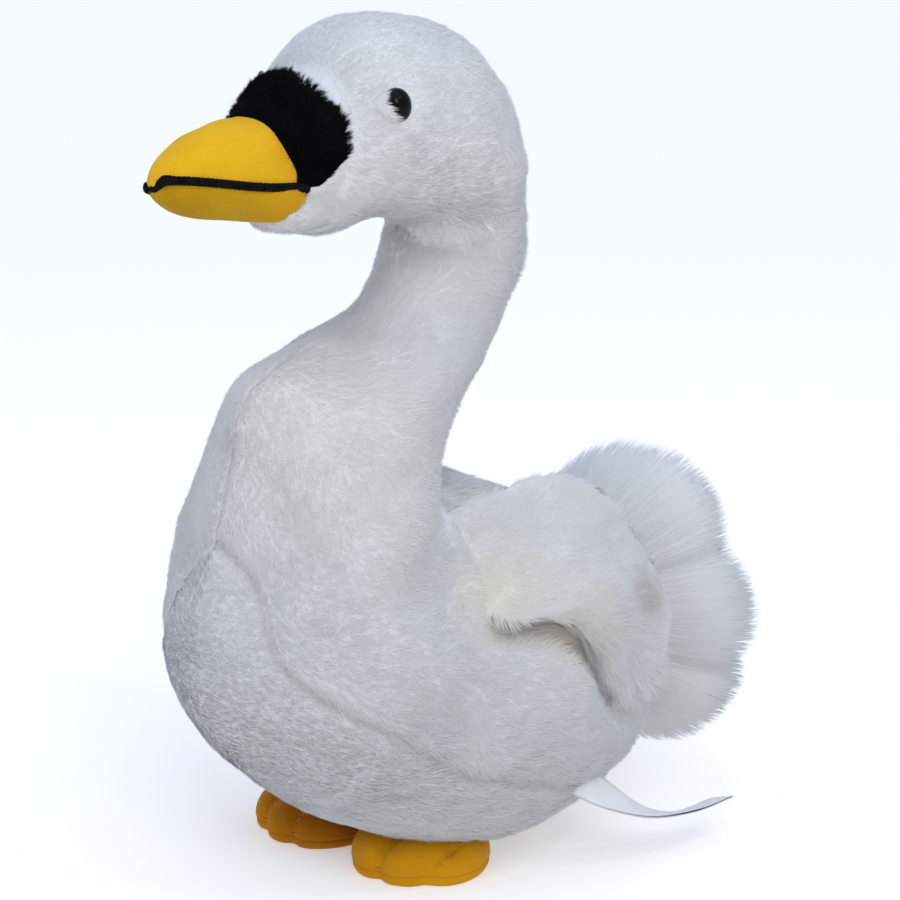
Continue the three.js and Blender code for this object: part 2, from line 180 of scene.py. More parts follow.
def make(name, pts, tris, material, uv=None, normals=None, values=None, slot=None):
    """A mesh object from points in mm, smooth shaded, riding on the one body."""
    me = bpy.data.meshes.new(name)
    me.vertices.add(len(pts))
    me.vertices.foreach_set("co", (np.asarray(pts) * MM).astype(np.float32).ravel())
    me.loops.add(tris.size)
    me.loops.foreach_set("vertex_index", np.ascontiguousarray(tris).astype(np.int32).ravel())
    me.polygons.add(len(tris))
    me.polygons.foreach_set("loop_start", (np.arange(len(tris)) * 3).astype(np.int32))
    me.update(calc_edges=True)
    me.polygons.foreach_set("use_smooth", np.ones(len(tris), bool))
    if uv is not None:
        layer = me.uv_layers.new(name="OFBake")
        layer.data.foreach_set("uv", np.ascontiguousarray(uv).astype(np.float32).ravel())
    for key, v in (values or {}).items():
        me.attributes.new(key, "FLOAT", "POINT").data.foreach_set("value", np.asarray(v, np.float32))
    me.validate()
    if normals is not None:
        if name.startswith("coat_") and len(me.loops) == tris.size:
            # the undersides of locks that show at a rim get normals of their own
            q = np.asarray(pts)[tris]
            g = unit(np.cross(q[:, 1] - q[:, 0], q[:, 2] - q[:, 0]))[:, None]
            cn = normals[tris]
            dot = (cn * g).sum(-1, keepdims=True)
            most = 1.0 if name.startswith(("coat_wing", "coat_tail", "coat_eye")) else smooth((72 - q[..., 2:3]) / 50)
            cn = unit(np.where(dot < 0.05, cn - most * (dot - 0.3 * np.abs(dot) - 0.05) * g, cn))
            me.normals_split_custom_set(cn.reshape(-1, 3).astype(np.float32))
        else:
            me.normals_split_custom_set_from_vertices(normals.astype(np.float32))
    me.materials.append(material)
    o = bpy.data.objects.new(name, me)
    bpy.context.scene.collection.objects.link(o)
    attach(o, "root")
    if name.startswith("coat"):
        # fine fibre lets light through, so the locks hardly shade each other
        o.visible_shadow = False
        o.visible_diffuse = not name.startswith("coat_tail")
    return o


def tree_of(pts, tris):
    return BVHTree.FromPolygons([Vector(p) for p in pts.tolist()], tris.tolist())


def snap(tree, line):
    """Each point of a line moved to the nearest place on a surface."""
    return np.array([list(tree.find_nearest(Vector(p))[0]) for p in np.asarray(line).tolist()])


def distance_to(line, pts, reach):
    """Distance from each point to a line of close points, up to a reach."""
    kd = KDTree(len(line))
    for i, p in enumerate(line):
        kd.insert(p, i)
    kd.balance()
    lo, hi = line.min(0) - reach, line.max(0) + reach
    near = np.where(((pts > lo) & (pts < hi)).all(1))[0]
    d = np.full(len(pts), float(reach))
    for i in near:
        d[i] = min(reach, kd.find(pts[i])[2])
    return d


def scatter(pts, tris, n, weight=None, r=rng):
    """n places spread evenly over triangles: face numbers and their corner shares."""
    a, b, c = pts[tris[:, 0]], pts[tris[:, 1]], pts[tris[:, 2]]
    area = np.linalg.norm(np.cross(b - a, c - a), axis=1) / 2
    if weight is not None:
        area = area * weight
    cum = np.cumsum(area)
    at = (np.arange(n) + r.random(n)) / n * cum[-1]
    f = np.minimum(np.searchsorted(cum, at), len(tris) - 1)
    u, v = r.random(n), r.random(n)
    flip = u + v > 1
    u, v = np.where(flip, 1 - u, u), np.where(flip, 1 - v, v)
    return f, np.stack([1 - u - v, u, v], -1)


def on_faces(values, tris, f, share):
    return np.einsum("nk,nkd->nd", share, values[tris[f]])


def clumped(root, tip, size, pull, r=rng):
    """Tips drawn together in clumps about a size across."""
    n = len(root)
    count = max(2, int(n / size))
    centres = r.choice(n, count, replace=False)
    kd = KDTree(count)
    for j, i in enumerate(centres):
        kd.insert(root[i], j)
    kd.balance()
    own = np.array([kd.find(p)[1] for p in root])
    c = centres[own]
    aim = tip[c] + (root - root[c]) * 0.25
    return tip + (aim - tip) * pull


def locks(root, nrm, tip, rise, width, uv, segments=2, mix=0.6, thick=0.45, sink=0.5, floor=None, bend=None, lit=None):
    """Thin pointed locks of fibre, closed three-sided blades, from root to tip.
    rise lifts the middle off the surface. Returns what make() needs."""
    n = len(root)
    tan = unit(tip - root)
    up = unit(nrm - tan * np.einsum("ij,ij->i", nrm, tan)[:, None])
    side = np.cross(up, tan)
    long = np.linalg.norm(tip - root, axis=1, keepdims=True)
    width, rise = np.broadcast_to(width, n)[:, None], np.broadcast_to(rise, n)[:, None]
    tone = 0.5 * rng.random(n) ** 2
    rows, nor, along, lu = [], [], [], []
    for j in range(segments):
        s = j / segments
        c = root - nrm * sink * (1 - s) + (tip - root) * s + up * rise * long * 4 * s * (1 - s) * (1.15 - 0.45 * s)
        if bend is not None:
            c = c + side * (bend[:, None] * long * 4 * s * (1 - s))
        w = width / 2 * (0.72 + 1.1 * s if s < 0.3 else 1.05 * (1 - ((s - 0.3) / 0.78) ** 1.5))
        rows += [c - side * w, c + up * w * thick * 2, c + side * w]
        nor += [unit(up * 0.75 - side * 0.66), up, unit(up * 0.75 + side * 0.66)]
        along += [tone + (1 - tone) * s] * 3
        lu += [[-0.5, s - 0.5], [0, s - 0.5], [0.5, s - 0.5]]
    rows.append(tip)
    nor.append(up)
    along.append(np.ones(n))
    lu.append([0, 0.5])
    V = 3 * segments + 1
    pts = np.stack(rows, 1)
    if floor is not None:
        pts[..., 2] = np.maximum(pts[..., 2], floor)
    own = np.stack(nor, 1)
    mix = np.broadcast_to(mix, n)[:, None, None]
    normals = unit(own * (1 - mix) + (nrm if lit is None else lit)[:, None, :] * mix)
    base = []
    for j in range(segments - 1):
        A, B, C = 3 * j, 3 * j + 1, 3 * j + 2
        A1, B1, C1 = A + 3, B + 3, C + 3
        base += [[A, A1, B1], [A, B1, B], [B, B1, C1], [B, C1, C], [C, C1, A1], [C, A1, A]]
    A, T = 3 * (segments - 1), V - 1
    base += [[A, T, A + 1], [A + 1, T, A + 2], [A + 2, T, A], [0, 1, 2]]
    tris = (np.arange(n)[:, None, None] * V + np.array(base)[None]).reshape(-1, 3)
    puv = uv[:, None, :] + np.array(lu, float)[None] * 0.003
    corner = puv.reshape(-1, 2)[tris]
    return dict(pts=pts.reshape(-1, 3), tris=tris, uv=corner, normals=normals.reshape(-1, 3),
                values={"along": np.stack(along, 1).ravel()})


def turned(vec, axis, angle):
    """Vectors turned about unit axes by angles."""
    c, s = np.cos(angle)[:, None], np.sin(angle)[:, None]
    return vec * c + np.cross(axis, vec) * s + axis * np.einsum("ij,ij->i", axis, vec)[:, None] * (1 - c)


# ---------------------------------------------------------------- materials
def material(name, colours, rough, patches=(30.0, 3.0), fibre=(), sheen=0.0, sheen_tint=(1, 1, 1), sheen_rough=0.5,
             along=None, axis=None, specular=0.3, weave=None, shade=None, dim=None):
    """A procedural cloth. colours are two ends of a soft mottle, patches its
    scale per metre and detail. fibre is a list of (scale x, y, z per metre, height in metres).
    along darkens the roots of locks as painted shade deep in the pile; the last argument is the colour of painted shade
    that the mesh attribute of its name multiplies in. axis is a gradient (vector, from, to, colour, most).
    weave is (per metre across, per metre along, height). shade is a list of soft spots
    (centre in metres, radius, colour, most)."""
    m = bpy.data.materials.new(name)
    m.use_nodes = True
    t = m.node_tree
    nodes, link = t.nodes, t.links.new
    bsdf = nodes["Principled BSDF"]
    bsdf.inputs["Roughness"].default_value = rough
    bsdf.inputs["Specular IOR Level"].default_value = specular
    if sheen:
        bsdf.inputs["Sheen Weight"].default_value = sheen
        bsdf.inputs["Sheen Roughness"].default_value = sheen_rough
        bsdf.inputs["Sheen Tint"].default_value = (*sheen_tint, 1)
    co = nodes.new("ShaderNodeTexCoord").outputs["Object"]
    noise = nodes.new("ShaderNodeTexNoise")
    noise.inputs["Scale"].default_value = patches[0]
    noise.inputs["Detail"].default_value = patches[1]
    link(co, noise.inputs["Vector"])
    ramp = nodes.new("ShaderNodeValToRGB")
    ramp.color_ramp.elements[0].position, ramp.color_ramp.elements[1].position = 0.3, 0.7
    ramp.color_ramp.elements[0].color = (*colours[0], 1)
    ramp.color_ramp.elements[1].color = (*colours[1], 1)
    link(noise.outputs["Fac"], ramp.inputs["Fac"])
    colour = ramp.outputs["Color"]

    def mixed(fac, a, b, how="MIX"):
        n = nodes.new("ShaderNodeMix")
        n.data_type, n.blend_type = "RGBA", how
        link(fac, n.inputs["Factor"])
        link(a, n.inputs["A"])
        if isinstance(b, tuple):
            n.inputs["B"].default_value = (*b, 1)
        else:
            link(b, n.inputs["B"])
        return n.outputs["Result"]

    def ranged(value, a, b, c, d):
        n = nodes.new("ShaderNodeMapRange")
        n.interpolation_type = "SMOOTHSTEP"
        link(value, n.inputs["Value"])
        for key, v in (("From Min", a), ("From Max", b), ("To Min", c), ("To Max", d)):
            n.inputs[key].default_value = v
        return n.outputs["Result"]

    for vec, lo, hi, c, most in (axis or []):
        dot = nodes.new("ShaderNodeVectorMath")
        dot.operation = "DOT_PRODUCT"
        link(co, dot.inputs[0])
        dot.inputs[1].default_value = vec
        colour = mixed(ranged(dot.outputs["Value"], lo, hi, 0.0, most), colour, c)
    for centre, radius, c, most in (shade or []):
        d = nodes.new("ShaderNodeVectorMath")
        d.operation = "DISTANCE"
        link(co, d.inputs[0])
        d.inputs[1].default_value = centre
        colour = mixed(ranged(d.outputs["Value"], 0.0, radius, most, 0.0), colour, c)
    # painted shade: the colour darkened where the mesh attribute marks it
    if dim is not None:
        a = nodes.new("ShaderNodeAttribute")
        a.attribute_name = "dim"
        colour = mixed(a.outputs["Fac"], colour, dim, "MULTIPLY")
    # painted shade at the roots of the locks, deep in the pile
    if along is not None:
        a = nodes.new("ShaderNodeAttribute")
        a.attribute_name = "along"
        colour = mixed(ranged(a.outputs["Fac"], 0.0, 0.75, along[1], 0.0), colour, along[0], "MULTIPLY")
    link(colour, bsdf.inputs["Base Color"])
    height = None
    for sx, sy, sz, high in fibre:
        mp = nodes.new("ShaderNodeMapping")
        mp.inputs["Scale"].default_value = (sx, sy, sz)
        link(co, mp.inputs["Vector"])
        n = nodes.new("ShaderNodeTexNoise")
        n.inputs["Scale"].default_value = 1.0
        n.inputs["Detail"].default_value = 3.0
        n.inputs["Distortion"].default_value = 0.4
        link(mp.outputs["Vector"], n.inputs["Vector"])
        b = nodes.new("ShaderNodeBump")
        b.inputs["Strength"].default_value = 1.0
        b.inputs["Distance"].default_value = high
        link(n.outputs["Fac"], b.inputs["Height"])
        if height is not None:
            link(height, b.inputs["Normal"])
        height = b.outputs["Normal"]
    if weave:
        for k, (turn, per) in enumerate(((0, weave[0]), (1, weave[1]))):
            w = nodes.new("ShaderNodeTexWave")
            w.wave_type, w.wave_profile = "BANDS", "SIN"
            w.bands_direction = weave[3 + turn]
            w.inputs["Scale"].default_value = per
            w.inputs["Distortion"].default_value = 0.6
            w.inputs["Detail"].default_value = 1.0
            link(co, w.inputs["Vector"])
            b = nodes.new("ShaderNodeBump")
            b.inputs["Strength"].default_value = 1.0
            b.inputs["Distance"].default_value = weave[2]
            link(w.outputs["Fac"], b.inputs["Height"])
            if height is not None:
                link(height, b.inputs["Normal"])
            height = b.outputs["Normal"]
    if height is not None:
        link(height, bsdf.inputs["Normal"])
    return m


WHITE_A, WHITE_B = (0.70, 0.71, 0.72), (0.78, 0.785, 0.79)
CREAM = (0.76, 0.73, 0.65)
COOL = (0.85, 0.92, 1.0)
plush_shade = [
    ((0.04, -0.075, 0.165), 0.075, CREAM, 0.45),      # breast and crop
    ((0.058, -0.032, 0.108), 0.026, (0.80, 0.77, 0.64), 0.75),       # root of the left wing
    ((-0.058, -0.032, 0.108), 0.026, (0.80, 0.77, 0.64), 0.75),
    ((0.066, -0.004, 0.092), 0.024, (0.80, 0.765, 0.66), 0.75),      # and its free edge
    ((-0.066, -0.004, 0.092), 0.024, (0.80, 0.765, 0.66), 0.75),
    ((0.0, 0.02, 0.0), 0.10, (0.78, 0.72, 0.60), 0.45),  # belly, by the feet: warmer and darker, painted light bounced from the feet
]
# the plush carries painted shade where the mesh marks it, and the pile's roots are darker: painted shade deep in the
# pile
M_SKIN = material("plush_cloth", (WHITE_A, WHITE_B), 0.95, (24.0, 3.0), fibre=[(1500, 320, 1500, 0.0006)],
                  dim=(0.50, 0.45, 0.38),
                  sheen=0.25, sheen_tint=COOL, shade=plush_shade, specular=0.15)
M_COAT = material("plush_pile", (WHITE_A, WHITE_B), 0.9, (24.0, 3.0), fibre=[(4200, 900, 4200, 0.00012)],
                  dim=(0.50, 0.45, 0.38),
                  sheen=0.35, sheen_tint=COOL, shade=plush_shade, along=((0.93, 0.93, 0.935), 0.8), specular=0.12)
# the locks' roots and the folds between the lobes are darkened: painted shade
M_TAIL = material("tail_pile", ((0.70, 0.71, 0.72), (0.78, 0.78, 0.78)), 0.9, (40.0, 3.0),
                  fibre=[(4200, 900, 4200, 0.0001)], sheen=0.35, sheen_tint=COOL,
                  along=((0.84, 0.83, 0.80), 0.8), dim=(0.66, 0.66, 0.66), specular=0.12)
M_TAIL_CLOTH = material("tail_cloth", ((0.66, 0.66, 0.66), (0.72, 0.72, 0.71)), 0.95, (60.0, 3.0),
                        fibre=[(900, 900, 900, 0.0006)], sheen=0.2, sheen_tint=COOL, specular=0.15)
M_BLACK = material("black_cloth", ((0.0012, 0.0012, 0.0015), (0.0025, 0.0025, 0.003)), 0.95, (90.0, 3.0),
                   fibre=[(1400, 400, 1400, 0.0006)], specular=0.05)
# roots of the locks darker: painted shade deep in the pile
M_BLACK_PILE = material("black_pile", ((0.0012, 0.0013, 0.0017), (0.0040, 0.0040, 0.0055)), 0.9, (150.0, 3.0),
                        fibre=[(4200, 900, 4200, 0.00012)],
                        along=((0.5, 0.5, 0.5), 0.8), specular=0.06)
YELLOW_A, YELLOW_B = (0.80, 0.45, 0.008), (0.90, 0.54, 0.014)
M_BEAK = material("beak_velour", (YELLOW_A, YELLOW_B), 0.85, (60.0, 4.0),
                  fibre=[(3400, 3400, 3400, 0.00030), (1100, 1100, 1100, 0.0002)],
                  sheen=0.15, sheen_tint=(1.0, 0.80, 0.30), specular=0.1,
                  # more orange towards the root, and darker lower down: painted shade
                  axis=[((0.0, 1.0, 0.0), -0.105, -0.075, (0.78, 0.38, 0.012), 0.55),
                        ((0.0, 0.0, -1.0), -0.262, -0.240, (0.80, 0.42, 0.015), 0.45)],
                  weave=(420.0, 520.0, 0.000035, "Z", "Y"))
# the under half in a darker copy of the beak's yellow: painted shade under the upper half
M_BEAK_LOW = material("beak_velour_under", ((0.50, 0.275, 0.006), (0.60, 0.34, 0.009)), 0.85, (60.0, 4.0),
                      fibre=[(2600, 2600, 2600, 0.00022), (700, 700, 700, 0.0002)],
                      sheen=0.12, sheen_tint=(1.0, 0.80, 0.30), specular=0.1,
                      axis=[((0.0, 1.0, 0.0), -0.098, -0.075, (0.74, 0.34, 0.010), 0.6)],
                      weave=(420.0, 520.0, 0.000035, "Z", "Y"))
M_FOOT = material("foot_velour", ((0.58, 0.24, 0.003), (0.69, 0.32, 0.006)), 0.85, (70.0, 4.0),
                  fibre=[(2600, 2600, 2600, 0.00025), (600, 600, 600, 0.0003)],
                  sheen=0.15, sheen_tint=(1.0, 0.75, 0.25), specular=0.1,
                  # painted shadow of the body on the feet, deepest on the far foot
                  shade=[((-0.022, -0.030, 0.013), 0.050, (0.22, 0.028, 0.001), 0.95),
                         ((0.018, -0.016, 0.018), 0.026, (0.34, 0.10, 0.003), 0.85),
                         ((0.001, -0.034, 0.016), 0.014, (0.34, 0.10, 0.003), 0.6)],
                  weave=(430.0, 430.0, 0.00003, "X", "Y"))
M_STITCH = material("foot_stitch", ((0.62, 0.30, 0.012), (0.70, 0.34, 0.016)), 0.7, (300.0, 2.0),
                    fibre=[(3000, 3000, 3000, 0.0001)], specular=0.3)
M_THREAD = material("mouth_thread", ((0.002, 0.002, 0.002), (0.009, 0.008, 0.008)), 0.6, (500.0, 2.0),
                    fibre=[(5200, 5200, 1500, 0.00012)], specular=0.04)
M_RIBBON = material("ribbon", ((0.80, 0.81, 0.83), (0.87, 0.88, 0.89)), 0.5, (120.0, 2.0),
                    fibre=[(900, 900, 900, 0.00003)], sheen=0.2, specular=0.4,
                    weave=(900.0, 900.0, 0.00004, "DIAGONAL", "Z"))


def gloss():
    m = bpy.data.materials.new("eye_plastic")
    m.use_nodes = True
    t = m.node_tree
    bsdf = t.nodes["Principled BSDF"]
    bsdf.inputs["Specular IOR Level"].default_value = 0.10
    co = t.nodes.new("ShaderNodeTexCoord").outputs["Object"]
    n = t.nodes.new("ShaderNodeTexNoise")
    n.inputs["Scale"].default_value = 900.0
    t.links.new(co, n.inputs["Vector"])
    r = t.nodes.new("ShaderNodeMapRange")
    r.inputs["To Min"].default_value, r.inputs["To Max"].default_value = 0.03, 0.09
    t.links.new(n.outputs["Fac"], r.inputs["Value"])
    t.links.new(r.outputs["Result"], bsdf.inputs["Roughness"])
    c = t.nodes.new("ShaderNodeValToRGB")
    c.color_ramp.elements[0].color, c.color_ramp.elements[1].color = (0.002, 0.002, 0.002, 1), (0.006, 0.005, 0.005, 1)
    t.links.new(n.outputs["Fac"], c.inputs["Fac"])
    t.links.new(c.outputs["Color"], bsdf.inputs["Base Color"])
    return m


M_EYE = gloss()

# ------------------------------------------------------------------- camera
target = Vector((0.0, 0.0002, 0.138))
camera = bpy.data.objects.new("camera", bpy.data.cameras.new("camera"))
bpy.context.scene.collection.objects.link(camera)
camera.data.lens, camera.data.sensor_width = 100, 36
camera.location = (0.6129, -0.5517, 0.3436)
camera.rotation_euler = (target - camera.location).to_track_quat("-Z", "Y").to_euler()
camera.data.clip_start, camera.data.clip_end = 0.05, 60
bpy.context.scene.camera = camera
bpy.context.view_layer.update()
EYE_AT = np.array(camera.location) / MM
CAM = np.array(camera.matrix_world.to_3x3())
FOCAL = 100 / 36 * 900


def pixel_ray(px, py):
    d = CAM @ np.array([(px - 450) / FOCAL, (450 - py) / FOCAL, -1.0])
    return EYE_AT, d / np.linalg.norm(d)


def seen_on(tree, pixels):
    """Where the view through these picture points meets a surface."""
    out = []
    for px, py in pixels:
        o, d = pixel_ray(px, py)
        hit = tree.ray_cast(Vector(o), Vector(d))[0]
        if hit is not None:
            out.append(list(hit))
    return np.array(out)


# --------------------------------------------------------------------- body
BODY = [
    [-86, 73, -73, 33, 32, 0.0], [-76, 99, -72, 20, 47, 0.2], [-57, 115, -63, 10, 61, 0.35],
    [-37, 126, -50, 3, 69, 0.35], [-23, 132, -31, -1.2, 74, 0.35], [-13, 134.5, -9, 1.5, 76, 0.2],
    [-7.5, 134.5, 24, 14, 70, 0.05], [-3, 133.5, 58, 36, 63, 0.15], [-0.5, 134, 82, 64, 57, 0.3],
    [1.5, 135.5, 87, 93, 53, 0.45], [1, 140, 81, 119, 50.5, 0.7], [-5, 148, 74, 144.5, 44, 0.8],
    [-16, 158.5, 65.2, 171, 37, 0.8], [-29, 169, 41.2, 183, 30, 0.6], [-39, 185, 11.5, 192.5, 25, 0.25],
    [-43, 211, -5, 213, 30.5, 0.1], [-40.5, 231, -4.5, 217.5, 35, 0.0], [-36.5, 249.5, 4.5, 219.5, 39, 0.0],
    [-27.5, 268, 13.5, 220.5, 41.5, 0.0], [-12.5, 282.5, 18.5, 220.5, 42, 0.0], [7.5, 287.5, 23.5, 219.5, 40, 0.0],
    [24, 285.5, 31, 218.2, 37, 0.0], [39, 272, 42, 216, 31.5, 0.0], [47.5, 254, 52, 219, 23, 0.0],
]
LAST = len(BODY) - 1
MASK_AT, MASK_R, MASK_WIDE = place(43, 0, 247), 24.0, 1.08
CHIN_AT, CHIN_SIZE = place(48.6, 3.0, 233.0), np.array([17.2, 12.4, 13.4])
ZONE_AT, ZONE_R, ZONE_WIDE, CHIN_Z = place(55, 0, 247.5), 26.0, 1.24, 236.0


def body_points(t, a):
    row = rows_at(BODY, t)
    df, dz, vf, vz, half, keel = [row[..., i] for i in range(6)]
    x0, x1 = np.clip(1 - t / 2, 0, 1), np.clip(1 - (LAST - t) / 2, 0, 1)
    end = np.sqrt(np.maximum(0, 1 - x0 ** 2.2)) * np.sqrt(np.maximum(0, 1 - x1 ** 2.2))
    c, s = np.cos(a), np.sin(a)
    e = 0.92 + keel * (1 - c) / 2
    p = place((df + vf) / 2 + (df - vf) / 2 * end * c, half * end * np.sign(s) * np.abs(s) ** e,
              (dz + vz) / 2 + (dz - vz) / 2 * end * c)
    # the ball of the face, under the black patch
    wide = np.array([MASK_WIDE, 1, 1])
    q = (p - MASK_AT) / wide
    r = np.linalg.norm(q, axis=-1, keepdims=True)
    k = 2.5 * smooth((44 - r) / 12)
    far_up = np.arccos(np.clip((unit(q) * unit(np.array([-0.62, -0.50, 0.60]))).sum(-1, keepdims=True), -1, 1))
    ball_r = MASK_R - 3.2 * np.exp(-(far_up / 0.40) ** 2) - 0.8 * smooth((p[..., 2:3] - 252) / 8)
    grown = 0.5 * (r + ball_r + np.sqrt((r - ball_r) ** 2 + k * k))
    grown = np.where(r > MASK_R + 12, r, grown)
    p = MASK_AT + q / np.maximum(r, 1e-6) * grown * wide
    # the chin comes forward under the beak
    q = (p - CHIN_AT) / CHIN_SIZE
    r = (np.abs(q) ** 3).sum(-1, keepdims=True) ** (1 / 3)
    low = smooth((248 - p[..., 2:3]) / 10)
    r2 = 0.5 * (r + 1 + np.sqrt((r - 1) ** 2 + 0.015))
    r2 = r + (r2 - r) * low * smooth((1.7 - r) / 0.5)
    p = CHIN_AT + q / np.maximum(r, 1e-6) * r2 * CHIN_SIZE
    # and the patch dips to the beak's sewn root
    f, sd, z = swan_of(p)
    e = np.sqrt((sd / 18.0) ** 2 + ((z - 237.5) / np.where(z > 237.5, 21.0, 12.5)) ** 2)
    dip = 2.8 * np.exp(-((e - 1.02) / 0.24) ** 2) * smooth((f - 50) / 6) * smooth((z - 236) / 6)
    p[..., 1] += dip
    return p


RINGS, AROUND = 300, 176
u = (np.arange(RINGS) + 1) / (RINGS + 1)
T_RING = LAST * (u - 0.085 * np.sin(2 * np.pi * u) / np.pi)
A_RING = 2 * np.pi * np.arange(AROUND) / AROUND
tt, aa = np.meshgrid(T_RING, A_RING, indexing="ij")
shell = body_points(tt, aa)
# on the left the neck runs into the head with no step
step = line_of(place(*np.array([[-2, 12, 214], [-5, 16, 215], [-9, 20, 216], [-14, 26.5, 216], [-20, 31, 217], [-27, 32.5, 219]], float).T))
near_step = distance_to(step, shell.reshape(-1, 3), 19).reshape(RINGS, AROUND)
soften = (smooth((19 - near_step) / 11) * smooth((shell[..., 0] + 12) / 16))[..., None]
for _ in range(220):
    mean = (np.roll(shell, 1, 1) + np.roll(shell, -1, 1)) / 4
    mean[1:-1] += (shell[2:] + shell[:-2]) / 4
    mean[[0, -1]] = shell[[0, -1]]
    shell = shell + (mean - shell) * soften * 0.8
pole0 = body_points(np.array([0.0]), np.array([0.0]))
pole1 = body_points(np.array([float(LAST)]), np.array([0.0]))
shell_pts, body_tris, body_uv = grid_mesh(shell, pole0, pole1)
shell_nrm = point_normals(shell_pts, body_tris)
vert_t = np.concatenate([tt.ravel(), [0, LAST]])
vert_a = np.concatenate([aa.ravel(), [0, 0]])
vert_uv = np.stack([vert_a / (2 * np.pi), (np.concatenate([(np.arange(RINGS).repeat(AROUND) + 1) / (RINGS + 1), [0, 1]]))], -1)
shell_tree = tree_of(shell_pts, body_tris)

# Sewn lines over the body, found on the outer surface.
CENTRE = place(*np.array([[46, 0, 183.5], [56, 0, 177], [64.5, 0, 171], [67, 0, 162], [73, 0, 151.5], [75, 0, 138],
                          [77, 0, 129], [79, 0, 126]]).T)
GUSSET = np.array([[79, 0, 126], [81, 8, 123], [81, 17, 117], [81, 23, 108], [79, 29, 93], [70, 38.5, 82], [61, 45, 75],
                   [45.5, 51, 65], [31, 55, 54], [21, 58, 48], [2, 63.5, 42], [-12, 65.5, 38], [-26, 63, 34],
                   [-44, 57, 31], [-60, 46, 34], [-72, 30, 42], [-78, 12, 50], [-79, 0, 52]], float)
centre_line = snap(shell_tree, line_of(CENTRE))
gusset_left = snap(shell_tree, line_of(place(*GUSSET.T)))
gusset_right = gusset_left * np.array([-1, 1, 1])
dorsal_line = snap(shell_tree, body_points(np.linspace(3.0, 21.0, 240), np.zeros(240)))

# Folds where the stuffing is pulled in: (picture points, how deep, how wide).
FOLDS = [
    ([(377, 214), (380, 200), (386, 186), (394, 172)], 1.3, 6.5),     # behind the jaw
    ([(345, 216), (362, 222), (379, 228)], 0.8, 6.0),                 # under the jaw
    ([(446, 462), (425, 470), (402, 492), (378, 522)], 2.6, 7.0),     # foot of the neck
    ([(343, 322), (352, 345), (350, 372)], 1.0, 9.0),                 # crop
    ([(250, 585), (300, 622), (352, 640)], 1.0, 12.0),
    ([(430, 700), (500, 690), (560, 665)], 1.3, 14.0),
    ([(300, 520), (350, 560), (420, 580)], 0.7, 14.0),
]
bulk = Waves(3, 46, 12)
small = Waves(4, 17, 12)
move = -PILE + 0.55 * bulk(shell_pts) + 0.22 * small(shell_pts)
crease, seam_shade = np.zeros(len(shell_pts)), np.zeros(len(shell_pts))
groove = np.zeros(len(shell_pts))
# grooves along the seams, with painted shade in them: a narrow dark line and a broad soft shadow beside it
for line, deep, wide in ((centre_line, 1.0, 2.4), (gusset_left, 1.45, 2.2), (gusset_right, 0.8, 2.8), (dorsal_line, 0.6, 2.2)):
    d = distance_to(line, shell_pts, 16)
    groove = np.maximum(groove, deep * np.exp(-(d / wide) ** 2) + 0.38 * deep * np.exp(-(d / 6.5) ** 2))
    crease = np.maximum(crease, np.exp(-(d / 3.0) ** 2))
    seam_shade = np.maximum(seam_shade, (0.30 if line is gusset_left or line is gusset_right else 0.22) * np.exp(-(d / 1.8) ** 2) + 0.05 * np.exp(-(d / 9.0) ** 2))
move -= groove
for pixels, deep, wide in FOLDS:
    line = seen_on(shell_tree, pixels)
    line = snap(shell_tree, line_of(line))
    for l in (line, line * np.array([-1, 1, 1])):
        d = distance_to(l, shell_pts, 3 * wide)
        move -= deep * np.exp(-(d / wide) ** 2)
        crease = np.maximum(crease, 0.5 * np.exp(-(d / wide) ** 2))
# the stuffing fills out the nape, and the left side where the neck goes into the head
shell_f, shell_s, shell_z = swan_of(shell_pts)
move += 1.6 * np.exp(-((shell_z - 205) / 14) ** 2) * smooth((-27 - shell_f) / 9)
for pixels, high, wide in (([(404, 228), (420, 231), (446, 235), (474, 239)], 1.4, 9.0), ([(388, 226), (390, 244)], 1.3, 8.0)):
    line = snap(shell_tree, line_of(seen_on(shell_tree, pixels)))
    d = distance_to(line, shell_pts, 3 * wide)
    move += high * np.exp(-(d / wide) ** 2)
# painted shade, multiplied into the plush colour: under the wings, in folds and seams, along the wing roots and near
# the floor
dim = np.zeros(len(shell_pts))
under = snap(shell_tree, line_of(place(*np.array([[-44, 64, 61], [-33, 66, 66], [-21, 66, 81], [-8, 64, 91.5], [9, 60, 95]]).T)))
# a dent under each wing's edge, with painted shade in the gap there
for l in (under, under * np.array([-1, 1, 1])):
    d = distance_to(l, shell_pts, 24)
    move -= 4.6 * np.exp(-(d / 8.0) ** 2)
    dim = np.maximum(dim, 0.85 * np.exp(-(d / 4.5) ** 2))
skin_pts = shell_pts + shell_nrm * move[:, None]
skin_pts[:, 2] = np.maximum(skin_pts[:, 2], 0.35)
skin_nrm = point_normals(skin_pts, body_tris)
# painted shade in the folds and along the seams
dim = np.maximum(np.maximum(dim, 0.22 * crease), seam_shade)
wing_root = snap(shell_tree, line_of(place(*np.array([[-1.7, 31, 127.1], [3.3, 38.9, 122.9], [6.9, 47.6, 115.4], [8.8, 54.4, 107.3], [7.2, 57.4, 97.7]]).T)))
# painted shade along the root of each wing
for l in (wing_root, wing_root * np.array([-1, 1, 1])):
    dim = np.maximum(dim, 0.30 * np.exp(-(distance_to(l, shell_pts, 12) / 3.0) ** 2))
# painted shade near the floor, darker towards the bottom
dim = np.maximum(dim, 0.55 * smooth((9 - shell_pts[:, 2]) / 9))
skin = make("skin_body", skin_pts, body_tris, M_SKIN, uv=body_uv, slot="white_plush", values={"dim": dim})
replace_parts(skin, "trunk", "neck", "head")
skin_tree = tree_of(skin_pts, body_tris)

